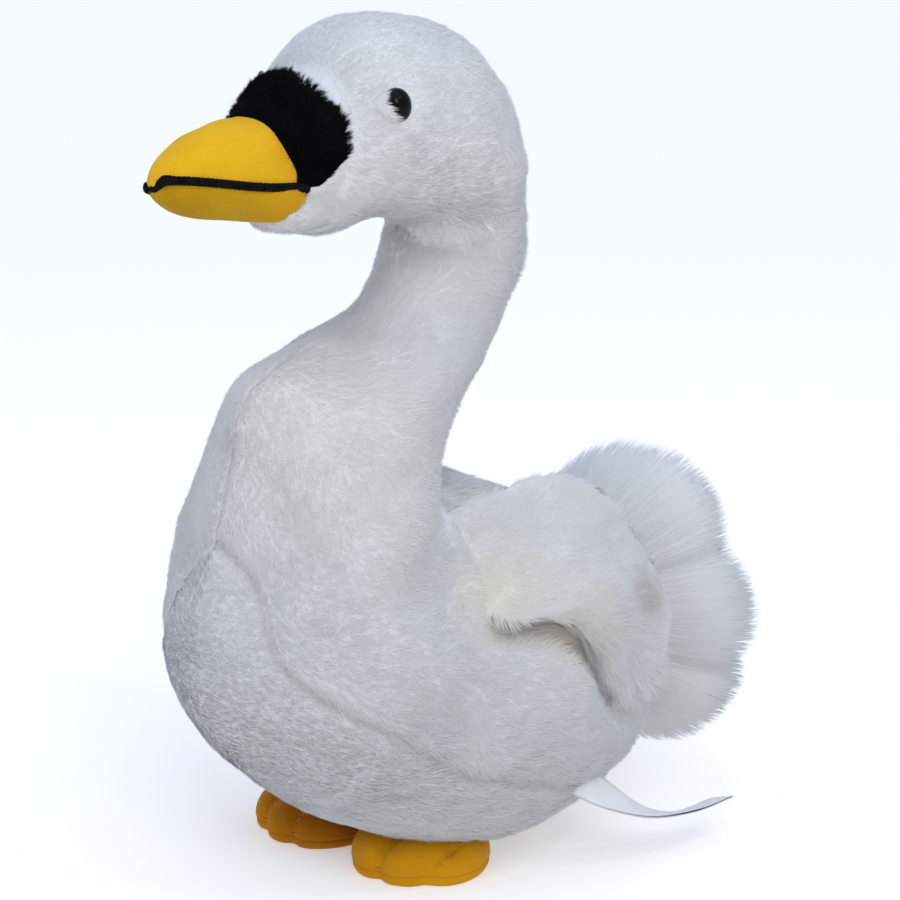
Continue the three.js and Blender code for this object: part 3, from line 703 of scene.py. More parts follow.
# the gusset: the panel between the two lower seams
kd = KDTree(len(shell_pts))
for i, p in enumerate(shell_pts):
    kd.insert(p, i)
kd.balance()
near = [kd.find(p)[1] for p in gusset_left]
seam_t, seam_a = vert_t[near], vert_a[near]
seam_a = np.minimum(seam_a, 2 * np.pi - seam_a)
go = np.argsort(seam_t)
edge_a = np.interp(vert_t, seam_t[go], seam_a[go], left=0.0, right=10.0)
own_a = np.minimum(vert_a, 2 * np.pi - vert_a)
in_gusset = ((own_a > edge_a) & (vert_t < seam_t.max())).astype(float)


def in_zone(p, extra=0.0):
    q = (p - ZONE_AT) / np.array([ZONE_WIDE, 1, 1])
    f, s, z = swan_of(p)
    top = smooth((10 - s) / 22) * smooth((z - 256) / 10)
    rear = 39.0 + 0.034 * (z - 253.5) ** 2 - 11.5 * top
    return (np.linalg.norm(q, axis=-1) < ZONE_R + extra + 0.6 + 4.6 * top) & (p[..., 2] > CHIN_Z - 0.5 - 0.5 * extra) & (f > rear - 0.8 - extra)


# ----------------------------------------------------------------- the coat
EYE_S = 33.9
EYE_C = place(29.4, EYE_S, 262.2)
EYE_MID = EYE_C + np.array([0.2, 0.9, -0.95])
EYE_OVAL = np.array([0.84, 0.87, 1.05])


def off_eye(p):
    """Distance from the nearer eye, counted in the eye's own oval."""
    return np.minimum(np.linalg.norm((p - EYE_MID) / EYE_OVAL, axis=1), np.linalg.norm((p * [-1, 1, 1] - EYE_MID) / EYE_OVAL, axis=1))


swirl = Waves(7, 60, 10)
ruffle = Waves(8, 19, 10)
streak = Waves(9, 7, 14)
mask_centre = place(62, 0, 242)
BACK = np.array([0.0, 1.0, -0.30])


def body_nap(p, n, gusset):
    f, s, z = swan_of(p)
    head = smooth((z - 206) / 22)[:, None]
    away = unit(p - mask_centre) + np.array([0, 0.1, -0.10])
    d = BACK * (1 - head) + away * head
    breast = (smooth((f - 30) / 30) * smooth((z - 95) / 40) * (1 - smooth((z - 190) / 20)))[:, None]
    d = d * (1 - 0.5 * breast) + np.array([0, 0, -1.0]) * 0.55 * breast + np.sign(s)[:, None] * np.array([0.35, 0, 0]) * breast
    front = smooth((f - 25) / 35)[:, None]
    d = d * (1 - gusset[:, None]) + gusset[:, None] * (front * np.array([1.0, 0.1, -0.12]) + (1 - front) * np.array([0.1, 1.0, 0.0]))
    chin = (smooth((238 - z) / 8) * smooth((f - 36) / 10) * smooth((z - 205) / 10))[:, None]
    d = d * (1 - chin) + np.array([0, 1.0, -0.06]) * chin
    d = d - n * np.einsum("ij,ij->i", d, n)[:, None]
    weak = np.linalg.norm(d, axis=1) < 0.12
    d[weak] += np.array([0.15, 0, -0.3])
    d = unit(d - n * np.einsum("ij,ij->i", d, n)[:, None])
    return turned(d, n, 0.42 * swirl(p) + 0.34 * ruffle(p) + rng.normal(0, 0.20, len(p)))


def coat(name, faces, count, length, width, lift, weight=None, segments=1, clump=11, pull=0.30):
    tr = body_tris[faces]
    f, share = scatter(skin_pts, tr, count, weight)
    p = on_faces(skin_pts, tr, f, share)
    n = unit(on_faces(skin_nrm, tr, f, share))
    even = on_faces(shell_nrm, tr, f, share)
    tri_uv = body_uv[faces][f]
    uv = np.einsum("nk,nkd->nd", share, tri_uv)
    gus = np.einsum("nk,nk->n", share, in_gusset[tr[f]])
    crs = np.einsum("nk,nk->n", share, crease[tr[f]])
    # painted shade of the skin at each root
    local_shade = np.einsum("nk,nk->n", share, dim[tr[f]])
    keep = ~in_zone(p, -2.4)
    near_eye = off_eye(p)
    keep &= near_eye > 4.9
    p, n, even, uv, gus, crs, local_shade, near_eye = (v[keep] for v in (p, n, even, uv, gus, crs, local_shade, near_eye))
    ff, ss, zz = swan_of(p)
    d = body_nap(p, n, gus)
    k = len(p)
    face = smooth((zz - 215) / 25) * smooth((ff + 25) / 60)
    L = length * (1 - 0.22 * face) * rng.uniform(0.82, 1.18, k) * (1 + 0.12 * streak(p))
    by_eye = smooth((11 - near_eye) / 5)
    L *= 1 - 0.25 * by_eye
    up = lift + 0.04 * ruffle(p) + 0.03 * streak(p) + rng.normal(0, 0.04, k) + 0.05 * crs
    up = np.clip(up, 0.12, 0.36) * (1 - 0.3 * by_eye)
    L *= 1 - 0.3 * smooth((234 - zz) / 6) * smooth((ff - 44) / 8)
    L = np.where((near_eye < 9.0) & (p[:, 1] < EYE_C[1] - 2.5), L * 1.5, L)
    tip = p + d * (L * np.cos(up))[:, None] + n * (L * np.sin(up) * 0.7)[:, None]
    tip = clumped(p, tip, clump, pull)
    w = width * rng.uniform(0.75, 1.25, k)
    data = locks(p, n, tip, 0.06, w, uv, segments, mix=0.85, thick=0.35, sink=0.3, floor=0.12,
                 lit=unit(n * 0.35 + even * 0.65))
    # the locks carry the skin's painted shade, strongest at their roots
    data["values"]["dim"] = np.repeat(local_shade, 3 * segments + 1) * (1 - 0.5 * data["values"]["along"])
    # strands bend round the eye domes
    for side in (1, -1):
        c = EYE_MID * [side, 1, 1]
        q = (data["pts"] - c) / EYE_OVAL
        r = np.linalg.norm(q, axis=1)
        hit = r < 5.2
        data["pts"][hit] = c + q[hit] / np.maximum(r[hit], 1e-6)[:, None] * 5.2 * EYE_OVAL
    return make(name, material=M_COAT, slot="white_plush", **data)


face_t = vert_t[body_tris].mean(1)
bands = [
    ("coat_rump", 0.0, 4.3, 1.45, 5.2, 0.56, 0.25),
    ("coat_side", 4.3, 6.0, 1.7, 5.2, 0.54, 0.25),
    ("coat_belly", 6.0, 8.6, 1.7, 5.2, 0.54, 0.25),
    ("coat_breast", 8.6, 12.0, 1.85, 5.0, 0.52, 0.25),
    ("coat_neck", 12.0, 16.4, 2.0, 4.7, 0.50, 0.25),
    ("coat_head", 16.4, 30.0, 2.1, 4.2, 0.47, 0.23),
]
a_, b_, c_ = (skin_pts[body_tris[:, j]] for j in range(3))
face_area = np.linalg.norm(np.cross(b_ - a_, c_ - a_), axis=1) / 2
made_coats = []
for name, lo, hi, dense, L, W, lift in bands:
    faces = np.where((face_t >= lo) & (face_t < hi))[0]
    count = int(min(49000, face_area[faces].sum() * dense))
    made_coats.append((name, face_area[faces].sum(), count))
    coat(name, faces, count, L, W, lift)

# --------------------------------------------------------------------- mask
head_tree = skin_tree


def mask_patch():
    N, K = 40, 132
    c = Vector(MASK_AT)
    reach = np.radians(150)

    def at(phi, th):
        d = np.array([math.sin(th) * math.sin(phi), -math.cos(phi), math.cos(th) * math.sin(phi)])
        hit = head_tree.ray_cast(c, Vector(d))[0]
        return np.array(hit)

    rings = np.zeros((N, K, 3))
    for k in range(K):
        th = 2 * math.pi * k / K
        lo, hi = 0.05, reach
        for _ in range(14):
            mid = (lo + hi) / 2
            if in_zone(at(mid, th), -2.6):
                lo = mid
            else:
                hi = mid
        edge = lo * (1 + 0.012 * math.sin(5 * th + 1) + 0.01 * math.sin(13 * th))
        for i in range(N):
            rings[i, k] = at(edge * (i + 1) / N, th)
    return rings, at(0.0, 0.0)


rings, tip = mask_patch()
N_, K_ = rings.shape[:2]
flat_n = unit(rings - MASK_AT)
edge_fall = smooth((N_ - 1 - np.arange(N_)) / 5.0)[:, None, None]
outer = rings + flat_n * (0.5 * edge_fall + 0.05)
inner = (rings - flat_n * 1.2)[::-1]
pts, tris, uv = grid_mesh(np.concatenate([outer, inner]), tip + np.array([0, -0.55, 0]), tip + np.array([0, 1.2, 0]))
mask = make("mask_cloth", pts, tris, M_BLACK, uv=uv, slot="black_plush")
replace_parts(mask, "mask")

patch_pts, patch_tris, patch_uv = grid_mesh(outer, tip + np.array([0, -0.55, 0]))
patch_nrm = point_normals(patch_pts, patch_tris)
ring_no = np.concatenate([np.repeat(np.arange(N_), K_), [0]]) / N_


def mask_coat():
    tr = patch_tris
    f, share = scatter(patch_pts, tr, 17000)
    p, n = on_faces(patch_pts, tr, f, share), unit(on_faces(patch_nrm, tr, f, share))
    uv = np.einsum("nk,nkd->nd", share, patch_uv[f])
    rim = np.einsum("nk,nk->n", share, ring_no[tr[f]])
    beak = place(62, 0, 239)
    d = unit(p - beak) + np.array([0, 0.25, 0.05])
    d = unit(d - n * np.einsum("ij,ij->i", d, n)[:, None])
    d = turned(d, n, 0.5 * ruffle(p) + rng.normal(0, 0.34, len(p)))
    k = len(p)
    off = np.linalg.norm((p - place(60, 0, 240)) * [1, 0.3, 0.95], axis=1)
    L = 3.6 * rng.uniform(0.6, 1.2, k) * (1 + 0.2 * streak(p)) * (0.45 + 0.55 * smooth((off - 19.5) / 4.5))
    spike = (rng.random(k) < 0.05) & (rim > 0.85)
    L = np.where(spike, L * 1.7, L)
    up = np.clip(0.42 + 0.15 * ruffle(p) + rng.normal(0, 0.12, k), 0.12, 0.9)
    up *= 1 - 0.3 * smooth((rim - 0.8) / 0.2)
    tip = p + d * (L * np.cos(up))[:, None] + n * (L * np.sin(up))[:, None]
    tip = clumped(p, tip, 16, 0.6)
    data = locks(p, n, tip, 0.08, 0.5 * rng.uniform(0.7, 1.3, k), uv, 1, mix=0.5, thick=0.35)
    return make("coat_mask", material=M_BLACK_PILE, slot="black_plush", **data)


mask_coat()

# --------------------------------------------------------------------- beak
B = dict(tipF=97.5, rootF=38.0, tipZ=238.6, rootZ=236.0, halfWidth=18.6, up=21.5, down=12.5)
TILT = (B["rootZ"] - B["tipZ"]) / (B["tipF"] - B["rootF"])


def line_lift(x, side=1.0):
    """How far the mouth line arches over its straight course: down at the very tip, up behind it on the left."""
    return (1 - 0.75 * smooth((0.3 - side) / 0.6)) * (-0.5 * np.exp(-(x / 0.012) ** 2) + 3.0 * smooth((x + 0.022) / 0.06) * (1 - 0.85 * smooth((x - 0.06) / 0.55))) \
        - 0.9 * smooth((0.3 - side) / 0.6) * smooth((0.3 - x) / 0.2)


def beak_point(x, a, upper, extra=0.0):
    """x from 0 at the tip to 1 at the root, a from 0 on one side of the mouth line over to pi on the other."""
    w = np.sqrt(np.maximum(0, 1 - (1 - np.minimum(1, x * 1.12)) ** 2.2)) ** 1.1
    cz = B["tipZ"] + (B["rootZ"] - B["tipZ"]) * x
    c, s = np.sin(a), np.cos(a)
    fuller = 1.0 if upper else 1 + 0.16 * np.exp(-((x - 0.16) / 0.16) ** 2)
    h = (B["up"] if upper else B["down"]) * w * fuller + extra
    lat = (B["halfWidth"] * w + extra) * np.sign(s) * np.abs(s) ** 0.82
    if not upper:
        lat = lat * (1 + 0.09 * smooth((x - 0.5) / 0.2))
    cz = cz + line_lift(x, s) * (1 - np.abs(c)) ** 1.5
    return place(B["tipF"] + extra - (B["tipF"] - B["rootF"]) * x, lat, cz + (1 if upper else -1) * h * np.abs(c) ** 0.9)


def beak_half(name, upper, material_, slot):
    N, K = 70, 72
    x = np.linspace(0.012, 0.80, N)[:, None] ** 1.35
    a = np.linspace(0, np.pi, K)[None, :]
    top = beak_point(x, a, upper)
    sign = 1 if upper else -1
    # the two halves roll in to the sewn line
    fall = np.exp(-(np.sin(a) / 0.16) ** 2)[..., None]
    top = top + np.array([0, 0, 0.75 * sign]) * fall
    soft = Waves(21 if upper else 22, 16, 8)
    centre = place(B["tipF"] - 30, 0, 238)
    top = top + unit(top - centre) * (0.28 * soft(top))[..., None]
    # flat underside of the half, closing the ring
    back = top[:, 1:-1][:, ::-1].copy()
    back[..., 2] = (top[:, :1, 2] + top[:, -1:, 2]) / 2 + 0 * back[..., 2]
    ring = np.concatenate([top, back], 1)
    first, last = ring[0].mean(0), ring[-1].mean(0)
    pts, tris, uv = grid_mesh(ring, first, last)
    o = make(name, pts, tris, material_, slot=slot)
    return o


upper = beak_half("beak_top", True, M_BEAK, "beak_velour")
lower = beak_half("beak_under", False, M_BEAK_LOW, "beak_velour")
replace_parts(upper, "beak_upper")
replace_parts(lower, "beak_lower")


def tube(path, radius_a, radius_b, up_dir, around=12):
    """A closed tube along a path, radius_a across and radius_b along up_dir, both per point."""
    t = unit(np.gradient(path, axis=0))
    up_ = unit(up_dir - t * np.einsum("ij,ij->i", up_dir, t)[:, None])
    side = np.cross(t, up_)
    a = 2 * np.pi * np.arange(around) / around
    ring = path[:, None] + side[:, None] * (np.cos(a)[None, :, None] * radius_a[:, None, None]) \
        + up_[:, None] * (np.sin(a)[None, :, None] * radius_b[:, None, None])
    return grid_mesh(ring, path[0], path[-1])


def mouth_thread():
    x = np.concatenate([np.linspace(0.80, 0.0, 150) ** 1.25, (np.linspace(0.0, 0.80, 150) ** 1.25)[1:]])
    side = np.concatenate([np.ones(150), -np.ones(149)])
    w = np.sqrt(np.maximum(0, 1 - (1 - np.minimum(1, x * 1.12)) ** 2.2)) ** 1.1
    line = place(B["tipF"] + 0.2 - 1.2 * np.exp(-(x / 0.015) ** 2) - (B["tipF"] - B["rootF"]) * x, side * (B["halfWidth"] * w + 0.1 + np.where(side > 0, 0.8, -0.7) * np.exp(-((x - 0.03) / 0.03) ** 2)), B["tipZ"] + (B["rootZ"] - B["tipZ"]) * x + line_lift(x, side * smooth(x / 0.02)))
    # behind the beak the stitches lie on the face
    for i, q in enumerate(line):
        if q[1] > place(62.5, 0, 0)[1]:
            at_, nrm_ = skin_tree.find_nearest(Vector(q))[:2]
            if (Vector(q) - at_).dot(nrm_) < 0.9:
                line[i] = np.array(at_) + np.array(nrm_) * 0.9
    n = int(np.linalg.norm(np.diff(line, axis=0), axis=1).sum() / 0.28)
    cum = np.concatenate([[0], np.cumsum(np.linalg.norm(np.diff(line, axis=0), axis=1))])
    at = np.linspace(0, cum[-1], n)
    x = np.interp(at, cum, x)
    line = np.stack([np.interp(at, cum, line[:, j]) for j in range(3)], -1)
    # two plies of satin stitches, side by side
    parts = []
    up_ = np.tile(np.array([0, 0, 1.0]), (n, 1))
    wave = 2 * np.pi * at / 2.1
    for j in (0, 1):
        ph = wave + np.pi * j
        p = line + np.array([0, 0, 1.0]) * (0.62 * np.sin(ph))[:, None]
        out = unit(np.cross(unit(np.gradient(line, axis=0)), up_))
        p = p + out * (0.35 * np.cos(ph))[:, None] * (-1)
        r = (0.80 + 0.12 * np.abs(np.sin(ph))) * (1 + 0.40 * np.exp(-((x - 0.03) / 0.022) ** 2) - 0.22 * np.exp(-(x / 0.008) ** 2))
        parts.append(tube(p, r, r * 0.95, up_, 10))
    pts, tris = np.vstack([parts[0][0], parts[1][0]]), np.vstack([parts[0][1], parts[1][1] + len(parts[0][0])])
    return make("mouth_thread", pts, tris, M_THREAD, slot="thread")


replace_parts(mouth_thread(), "mouth_line")

# --------------------------------------------------------------------- eyes
def eye(name, side):
    r, bulge, turn, tilt = 5.0, 0.72, math.radians(8), math.radians(14)
    lat = np.linspace(0.0, np.pi, 48)[1:-1]
    lon = 2 * np.pi * np.arange(72) / 72
    th, ph = np.meshgrid(lat, lon, indexing="ij")
    # axis along x, flatter behind a small rim
    x = np.cos(th) * bulge
    rad = np.sin(th) * (1 + 0.05 * np.exp(-((x + 0.12) / 0.06) ** 2))
    p = np.stack([x, EYE_OVAL[1] * rad * np.cos(ph), EYE_OVAL[2] * rad * np.sin(ph)], -1) * r

    def turn_by(p):
        c, s = math.cos(-tilt), math.sin(-tilt)
        q = np.stack([p[..., 0] * c + p[..., 2] * s, p[..., 1], -p[..., 0] * s + p[..., 2] * c], -1)
        c, s = math.cos(-turn), math.sin(-turn)
        return np.stack([q[..., 0] * c - q[..., 1] * s, q[..., 0] * s + q[..., 1] * c, q[..., 2]], -1)

    c = EYE_MID - np.array([0.6, 0, 0]) - (0 if side > 0 else np.array([2.4, -0.8, 0]))
    q = turn_by(p) + c
    ends = turn_by(np.array([[bulge * r, 0, 0], [-bulge * r, 0, 0]])) + c
    q, ends = q * [side, 1, 1], ends * [side, 1, 1]
    pts, tris, uv = grid_mesh(q, ends[0], ends[1])
    return make(name, pts, tris, M_EYE, slot="eye_plastic")


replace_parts(eye("eye_dome_left", 1), "eye_left")
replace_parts(eye("eye_dome_right", -1), "eye_right")


def lashes():
    """White strands of the face that lie over the front edge of each eye."""
    r_ = np.random.default_rng(77)
    k = 270
    c1, s1, c2, s2 = math.cos(-math.radians(14)), math.sin(-math.radians(14)), math.cos(-math.radians(8)), math.sin(-math.radians(8))
    spin = np.array([[c2, -s2, 0], [s2, c2, 0], [0, 0, 1]]) @ np.array([[c1, 0, s1], [0, 1, 0], [-s1, 0, c1]])
    ax = np.array([3.6, 4.35, 5.25])
    z = r_.uniform(-5.0, 4.4, k)
    slant = 0.45 + 1.75 * smooth((2.0 - z) / 6.5)          # the lower front is covered most
    over = 0.1 + slant * np.where(np.arange(k) % 3 > 0, r_.uniform(0.0, 0.8, k), r_.uniform(0.5, 1.75, k))
    y = -ax[1] * np.sqrt(np.maximum(0, 1 - (z / ax[2]) ** 2)) + over
    x = ax[0] * np.sqrt(np.maximum(0.01, 1 - (y / ax[1]) ** 2 - (z / ax[2]) ** 2))
    at = np.stack([x, y, z], -1)
    up = unit(at / ax ** 2)
    flow = unit(np.array([0, 1.0, -0.10]) + r_.normal(0, 0.07, (k, 3)))
    flow = unit(flow - up * np.einsum("ij,ij->i", flow, up)[:, None])
    tip = at + up * 0.30
    root = tip - flow * r_.uniform(3.6, 5.2, k)[:, None]
    uv = np.stack([0.27 + 0 * z, 0.8 + 0 * z], -1) + r_.uniform(-0.01, 0.01, (k, 2))
    near = skin_tree.find_nearest(Vector(EYE_MID + np.array([3.0, -6.0, 0])))[1]
    face = unit(np.array(near))[None] + np.zeros((k, 3))
    sides = []
    for side in (1, -1):
        m, c = np.array([side, 1, 1]), EYE_MID - np.array([0.6 if side > 0 else 3.0, 0, 0])
        sides.append(locks((root @ spin.T + c) * m, (up @ spin.T) * m, (tip @ spin.T + c) * m, 0.0,
                           0.44 * r_.uniform(0.7, 1.2, k), uv, 1, mix=0.85, thick=0.35, sink=0.0, lit=face * m))
    a_, b_ = sides
    n_ = len(a_["pts"])
    data = dict(pts=np.vstack([a_["pts"], b_["pts"]]), tris=np.vstack([a_["tris"], b_["tris"] + n_]),
                uv=np.vstack([a_["uv"], b_["uv"]]), normals=np.vstack([a_["normals"], b_["normals"]]),
                values={"along": np.concatenate([a_["values"]["along"], b_["values"]["along"]]), "dim": np.zeros(2 * n_)})
    make("coat_eye_strands", material=M_COAT, slot="white_plush", **data)


lashes()

# -------------------------------------------------------------------- wings
WING_OUTLINE = [[13, 125], [-9, 138], [-26, 139.5], [-39, 132], [-52, 111], [-58.5, 91], [-55, 73], [-43, 66.5],
                [-31, 69], [-20, 86], [-6, 96.5], [12, 99.5], [17, 112]]
WING = dict(out=74.0, curveFrom=88.0, curve=0.0078, rootPull=23.0, thick=15.0, edge=2.0)


def wing_out(f, z):
    bend = WING["curve"] * np.maximum(0, z - WING["curveFrom"]) ** 2
    root = WING["rootPull"] * smooth((f + 20) / 38) * np.clip((z - 90) / 30, 0, 1.15)
    return WING["out"] - bend - root


def wing_surface(inset, rings=26, around=168):
    cf, cz = -25.0, 103.0
    o = loop_at(WING_OUTLINE, np.arange(around) / around)
    d = o - [cf, cz]
    far = np.linalg.norm(d, axis=1, keepdims=True)
    o = [cf, cz] + d * (far - inset * 1.15) / far
    r = np.sin(np.pi / 2 * (np.arange(rings) + 1) / rings) ** 0.9
    thick = WING["thick"] - 2 * inset
    edge = 0.9

    def at(rr, side):
        f, z = cf + (o[None, :, 0] - cf) * rr[:, None], cz + (o[None, :, 1] - cz) * rr[:, None]
        full = np.sqrt(np.maximum(0, 1 - rr[:, None] ** 2.4))
        # a shallow dent by the tip; the edge is thin and stands proud of the body
        dent = 2.1 * np.exp(-(((f + 46) / 9) ** 2 + ((z - 97) / 9) ** 2)) + 1.6 * np.exp(-(((f + 38) / 6) ** 2 + ((z - 80) / 12) ** 2))
        dent = dent * (1.0 if side > 0 else 0.85)
        s = wing_out(f, z) - inset - (3.4 + 4.4 * smooth((f + 4) / 17)) * (1 - full) - dent
        if side < 0:
            s = s - edge - (thick - edge - 3.4) * full
        return place(f, s, z)

    outer_, inner_ = at(r, 1), at(r[:-1], -1)[::-1]
    P = np.concatenate([outer_, inner_])
    return grid_mesh(P, at(np.array([0.0]), 1)[0, 0], at(np.array([0.0]), -1)[0, 0])


wing_pts, wing_tris, wing_uv = wing_surface(PILE * 0.9)
wing_waves, wing_ripple = Waves(31, 22, 10), Waves(32, 9, 12)
wing_nrm = point_normals(wing_pts, wing_tris)
wing_pts = wing_pts + wing_nrm * (0.45 * wing_waves(wing_pts) + 0.20 * wing_ripple(wing_pts))[:, None]
wing_nrm = point_normals(wing_pts, wing_tris)


def wing_nap(p, n):
    f, s, z = swan_of(p)
    low = smooth((100 - z) / 24) * smooth((f + 46) / 16)
    d = np.array([0, 1.0, -0.35]) * (1 - 0.75 * low)[:, None] + np.array([0, 0.15, -1.0]) * low[:, None]
    tip = smooth((-38 - f) / 14)[:, None]
    d = d * (1 - 0.5 * tip) + np.array([0, 0.35, -1.0]) * 0.6 * tip
    d = d - n * np.einsum("ij,ij->i", d, n)[:, None]
    d = unit(d + 1e-4)
    return turned(d, n, 0.45 * swirl(p + 40) + 0.42 * ruffle(p) + 0.15 * streak(p) + rng.normal(0, 0.20, len(p)))


def wing(name, side):
    flip = np.array([side, 1, 1])
    pts = wing_pts * flip
    tris = wing_tris if side > 0 else wing_tris[:, ::-1]
    uv = wing_uv if side > 0 else wing_uv[:, ::-1]
    nrm = wing_nrm * flip
    o = make("wing_cloth_" + name, pts, tris, M_SKIN, uv=uv, slot="white_plush", values={"dim": np.zeros(len(pts))})
    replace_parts(o, "wing_" + name)
    tr, tuv = wing_tris, wing_uv
    f, share = scatter(wing_pts, tr, 36000)
    p, n = on_faces(wing_pts, tr, f, share), unit(on_faces(wing_nrm, tr, f, share))
    uvr = np.einsum("nk,nkd->nd", share, tuv[f])
    inside = np.array([(skin_tree.find_nearest(Vector(q))[0] - Vector(q)).dot(
        skin_tree.find_nearest(Vector(q))[1]) > 1.0 for q in p.tolist()])
    p, n, uvr = p[~inside], n[~inside], uvr[~inside]
    d = wing_nap(p, n)
    k = len(p)
    ff, ss, zz = swan_of(p)
    fringe = smooth((101 - zz) / 10) * smooth((ff + 54) / 12) * smooth((0.6 - 0.8 * n[:, 2] - 0.75 * n[:, 1]) / 0.8)
    L = 4.8 * rng.uniform(0.78, 1.22, k) * (1 + 0.15 * streak(p)) * (1 + 1.9 * fringe * rng.uniform(0.5, 1.0, k))
    upw = np.clip(0.27 + 0.09 * ruffle(p) + 0.07 * streak(p) + rng.normal(0, 0.06, k), 0.10, 0.6) + 0.2 * fringe
    tip_ = p + d * (L * np.cos(upw))[:, None] + n * (L * np.sin(upw) * 0.65)[:, None]
    tip_ = clumped(p, tip_, 14, 0.45)
    lit = n.copy()
    lit[:, 0] = np.maximum(lit[:, 0], 0) + 0.12 + 1.3 * smooth(n[:, 1] * 1.2) * (1 - smooth((n[:, 0] - 0.3) / 0.5))
    data = locks(p * flip, n * flip, tip_ * flip, 0.06, 0.54 * rng.uniform(0.75, 1.25, k), uvr, 1,
                 mix=0.80, thick=0.35, sink=0.3, lit=unit(lit) * flip)
    # painted shade in the dimple by the tip on the outer side, plus a random tone per lock
    hollow_shade = 0.50 * np.exp(-(((ff + 46) / 6.5) ** 2 + ((zz - 98) / 6.5) ** 2)) * (n[:, 0] > 0)
    data["values"]["dim"] = np.repeat(np.clip(hollow_shade + 0.20 * rng.random(k) ** 2, 0, 1), 4)
    make("coat_wing_" + name, material=M_COAT, slot="white_plush", **data)


wing("left", 1)
wing("right", -1)

# --------------------------------------------------------------------- tail
TAIL = dict(f=-114.0, z=69.5, depth=29.0, rootDepth=14.0, width=55.5, height=58.0, lean=math.radians(-6))
NOTCHES = [(60.0, 0.055, 20.0), (111.0, 0.035, 9.0)]


def near_angle(deg, on, wide):
    d = (deg - on + 540) % 360 - 180
    return np.exp(-((d / wide) ** 2))


def tail_point(r, ang, side, deep=1.0):
    """r from 0 in the middle to 1 at the rim, ang in radians from the top to the left, side -1 behind to 1 in front."""
    deg = np.degrees(ang)
    lobe, fold = 1.0, 1.0
    for on, cut, wide in NOTCHES:
        both = near_angle(deg, on, wide) + near_angle(deg, -on, wide)
        lobe = lobe - cut * both * r * r
        fold = fold - (0.34 if on == 60.0 else 0.22) * (near_angle(deg, on, wide * 0.55) + near_angle(deg, -on, wide * 0.55)) * smooth(r / 0.5)
    lobe = lobe + (0.10 * near_angle(deg, 34, 21) + 0.05 * near_angle(deg, 66, 14) - 0.085 * near_angle(deg, -34, 24)) * r * r
    dz = TAIL["height"] * r * lobe * np.cos(ang)
    d = TAIL["depth"] * np.maximum(0, 1 - r ** 2.2) ** 0.55 * fold
    d = np.where(side > 0, d + TAIL["rootDepth"] * (1 - smooth(r / 0.75)), d)
    return place(TAIL["f"] - math.tan(TAIL["lean"]) * dz + side * d * deep, TAIL["width"] * r * lobe * np.sin(ang), TAIL["z"] + dz)


CORE = 0.58


def tail_core():
    R, K = 22, 96
    a = 2 * np.pi * np.arange(K)[None] / K
    r = (np.sin(np.pi / 2 * (np.arange(R) + 1) / R) ** 0.95)[:, None]
    scale = 0.66

    def at(rr, side):
        full = tail_point(rr * scale, a + 0 * rr, side)
        mid = tail_point(rr * scale, a + 0 * rr, 0.0)
        return mid + (full - mid) * CORE * np.sqrt(np.maximum(0, 1 - rr ** 2.4))[..., None]

    P = np.concatenate([at(r, 1.0), at(r[:-1], -1.0)[::-1]])
    c1 = at(np.array([[1e-4]]), 1.0).mean((0, 1))
    c2 = at(np.array([[1e-4]]), -1.0).mean((0, 1))
    pts, tris, uv = grid_mesh(P, c1, c2)
    o = make("tail_cloth", pts, tris, M_TAIL_CLOTH, uv=uv, slot="tail_plush")
    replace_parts(o, "tail")


tail_core()


def tail_shell():
    R, K = 40, 120
    a = 2 * np.pi * np.arange(K)[None] / K
    r = (np.sin(np.pi / 2 * (np.arange(R) + 1) / R))[:, None]
    P = np.concatenate([tail_point(r, a + 0 * r, 1.0), tail_point(r[:-1], a + 0 * r[:-1], -1.0)[::-1]])
    pts, tris, uv = grid_mesh(P, tail_point(0.0, 0.0, 1.0), tail_point(0.0, 0.0, -1.0))
    return pts, tris, uv, point_normals(pts, tris)


tail_pts, tail_tris, tail_uv, tail_nrm = tail_shell()
ROOT_AT = place(-84, 0, 68)
tail_waves = Waves(61, 15, 12)


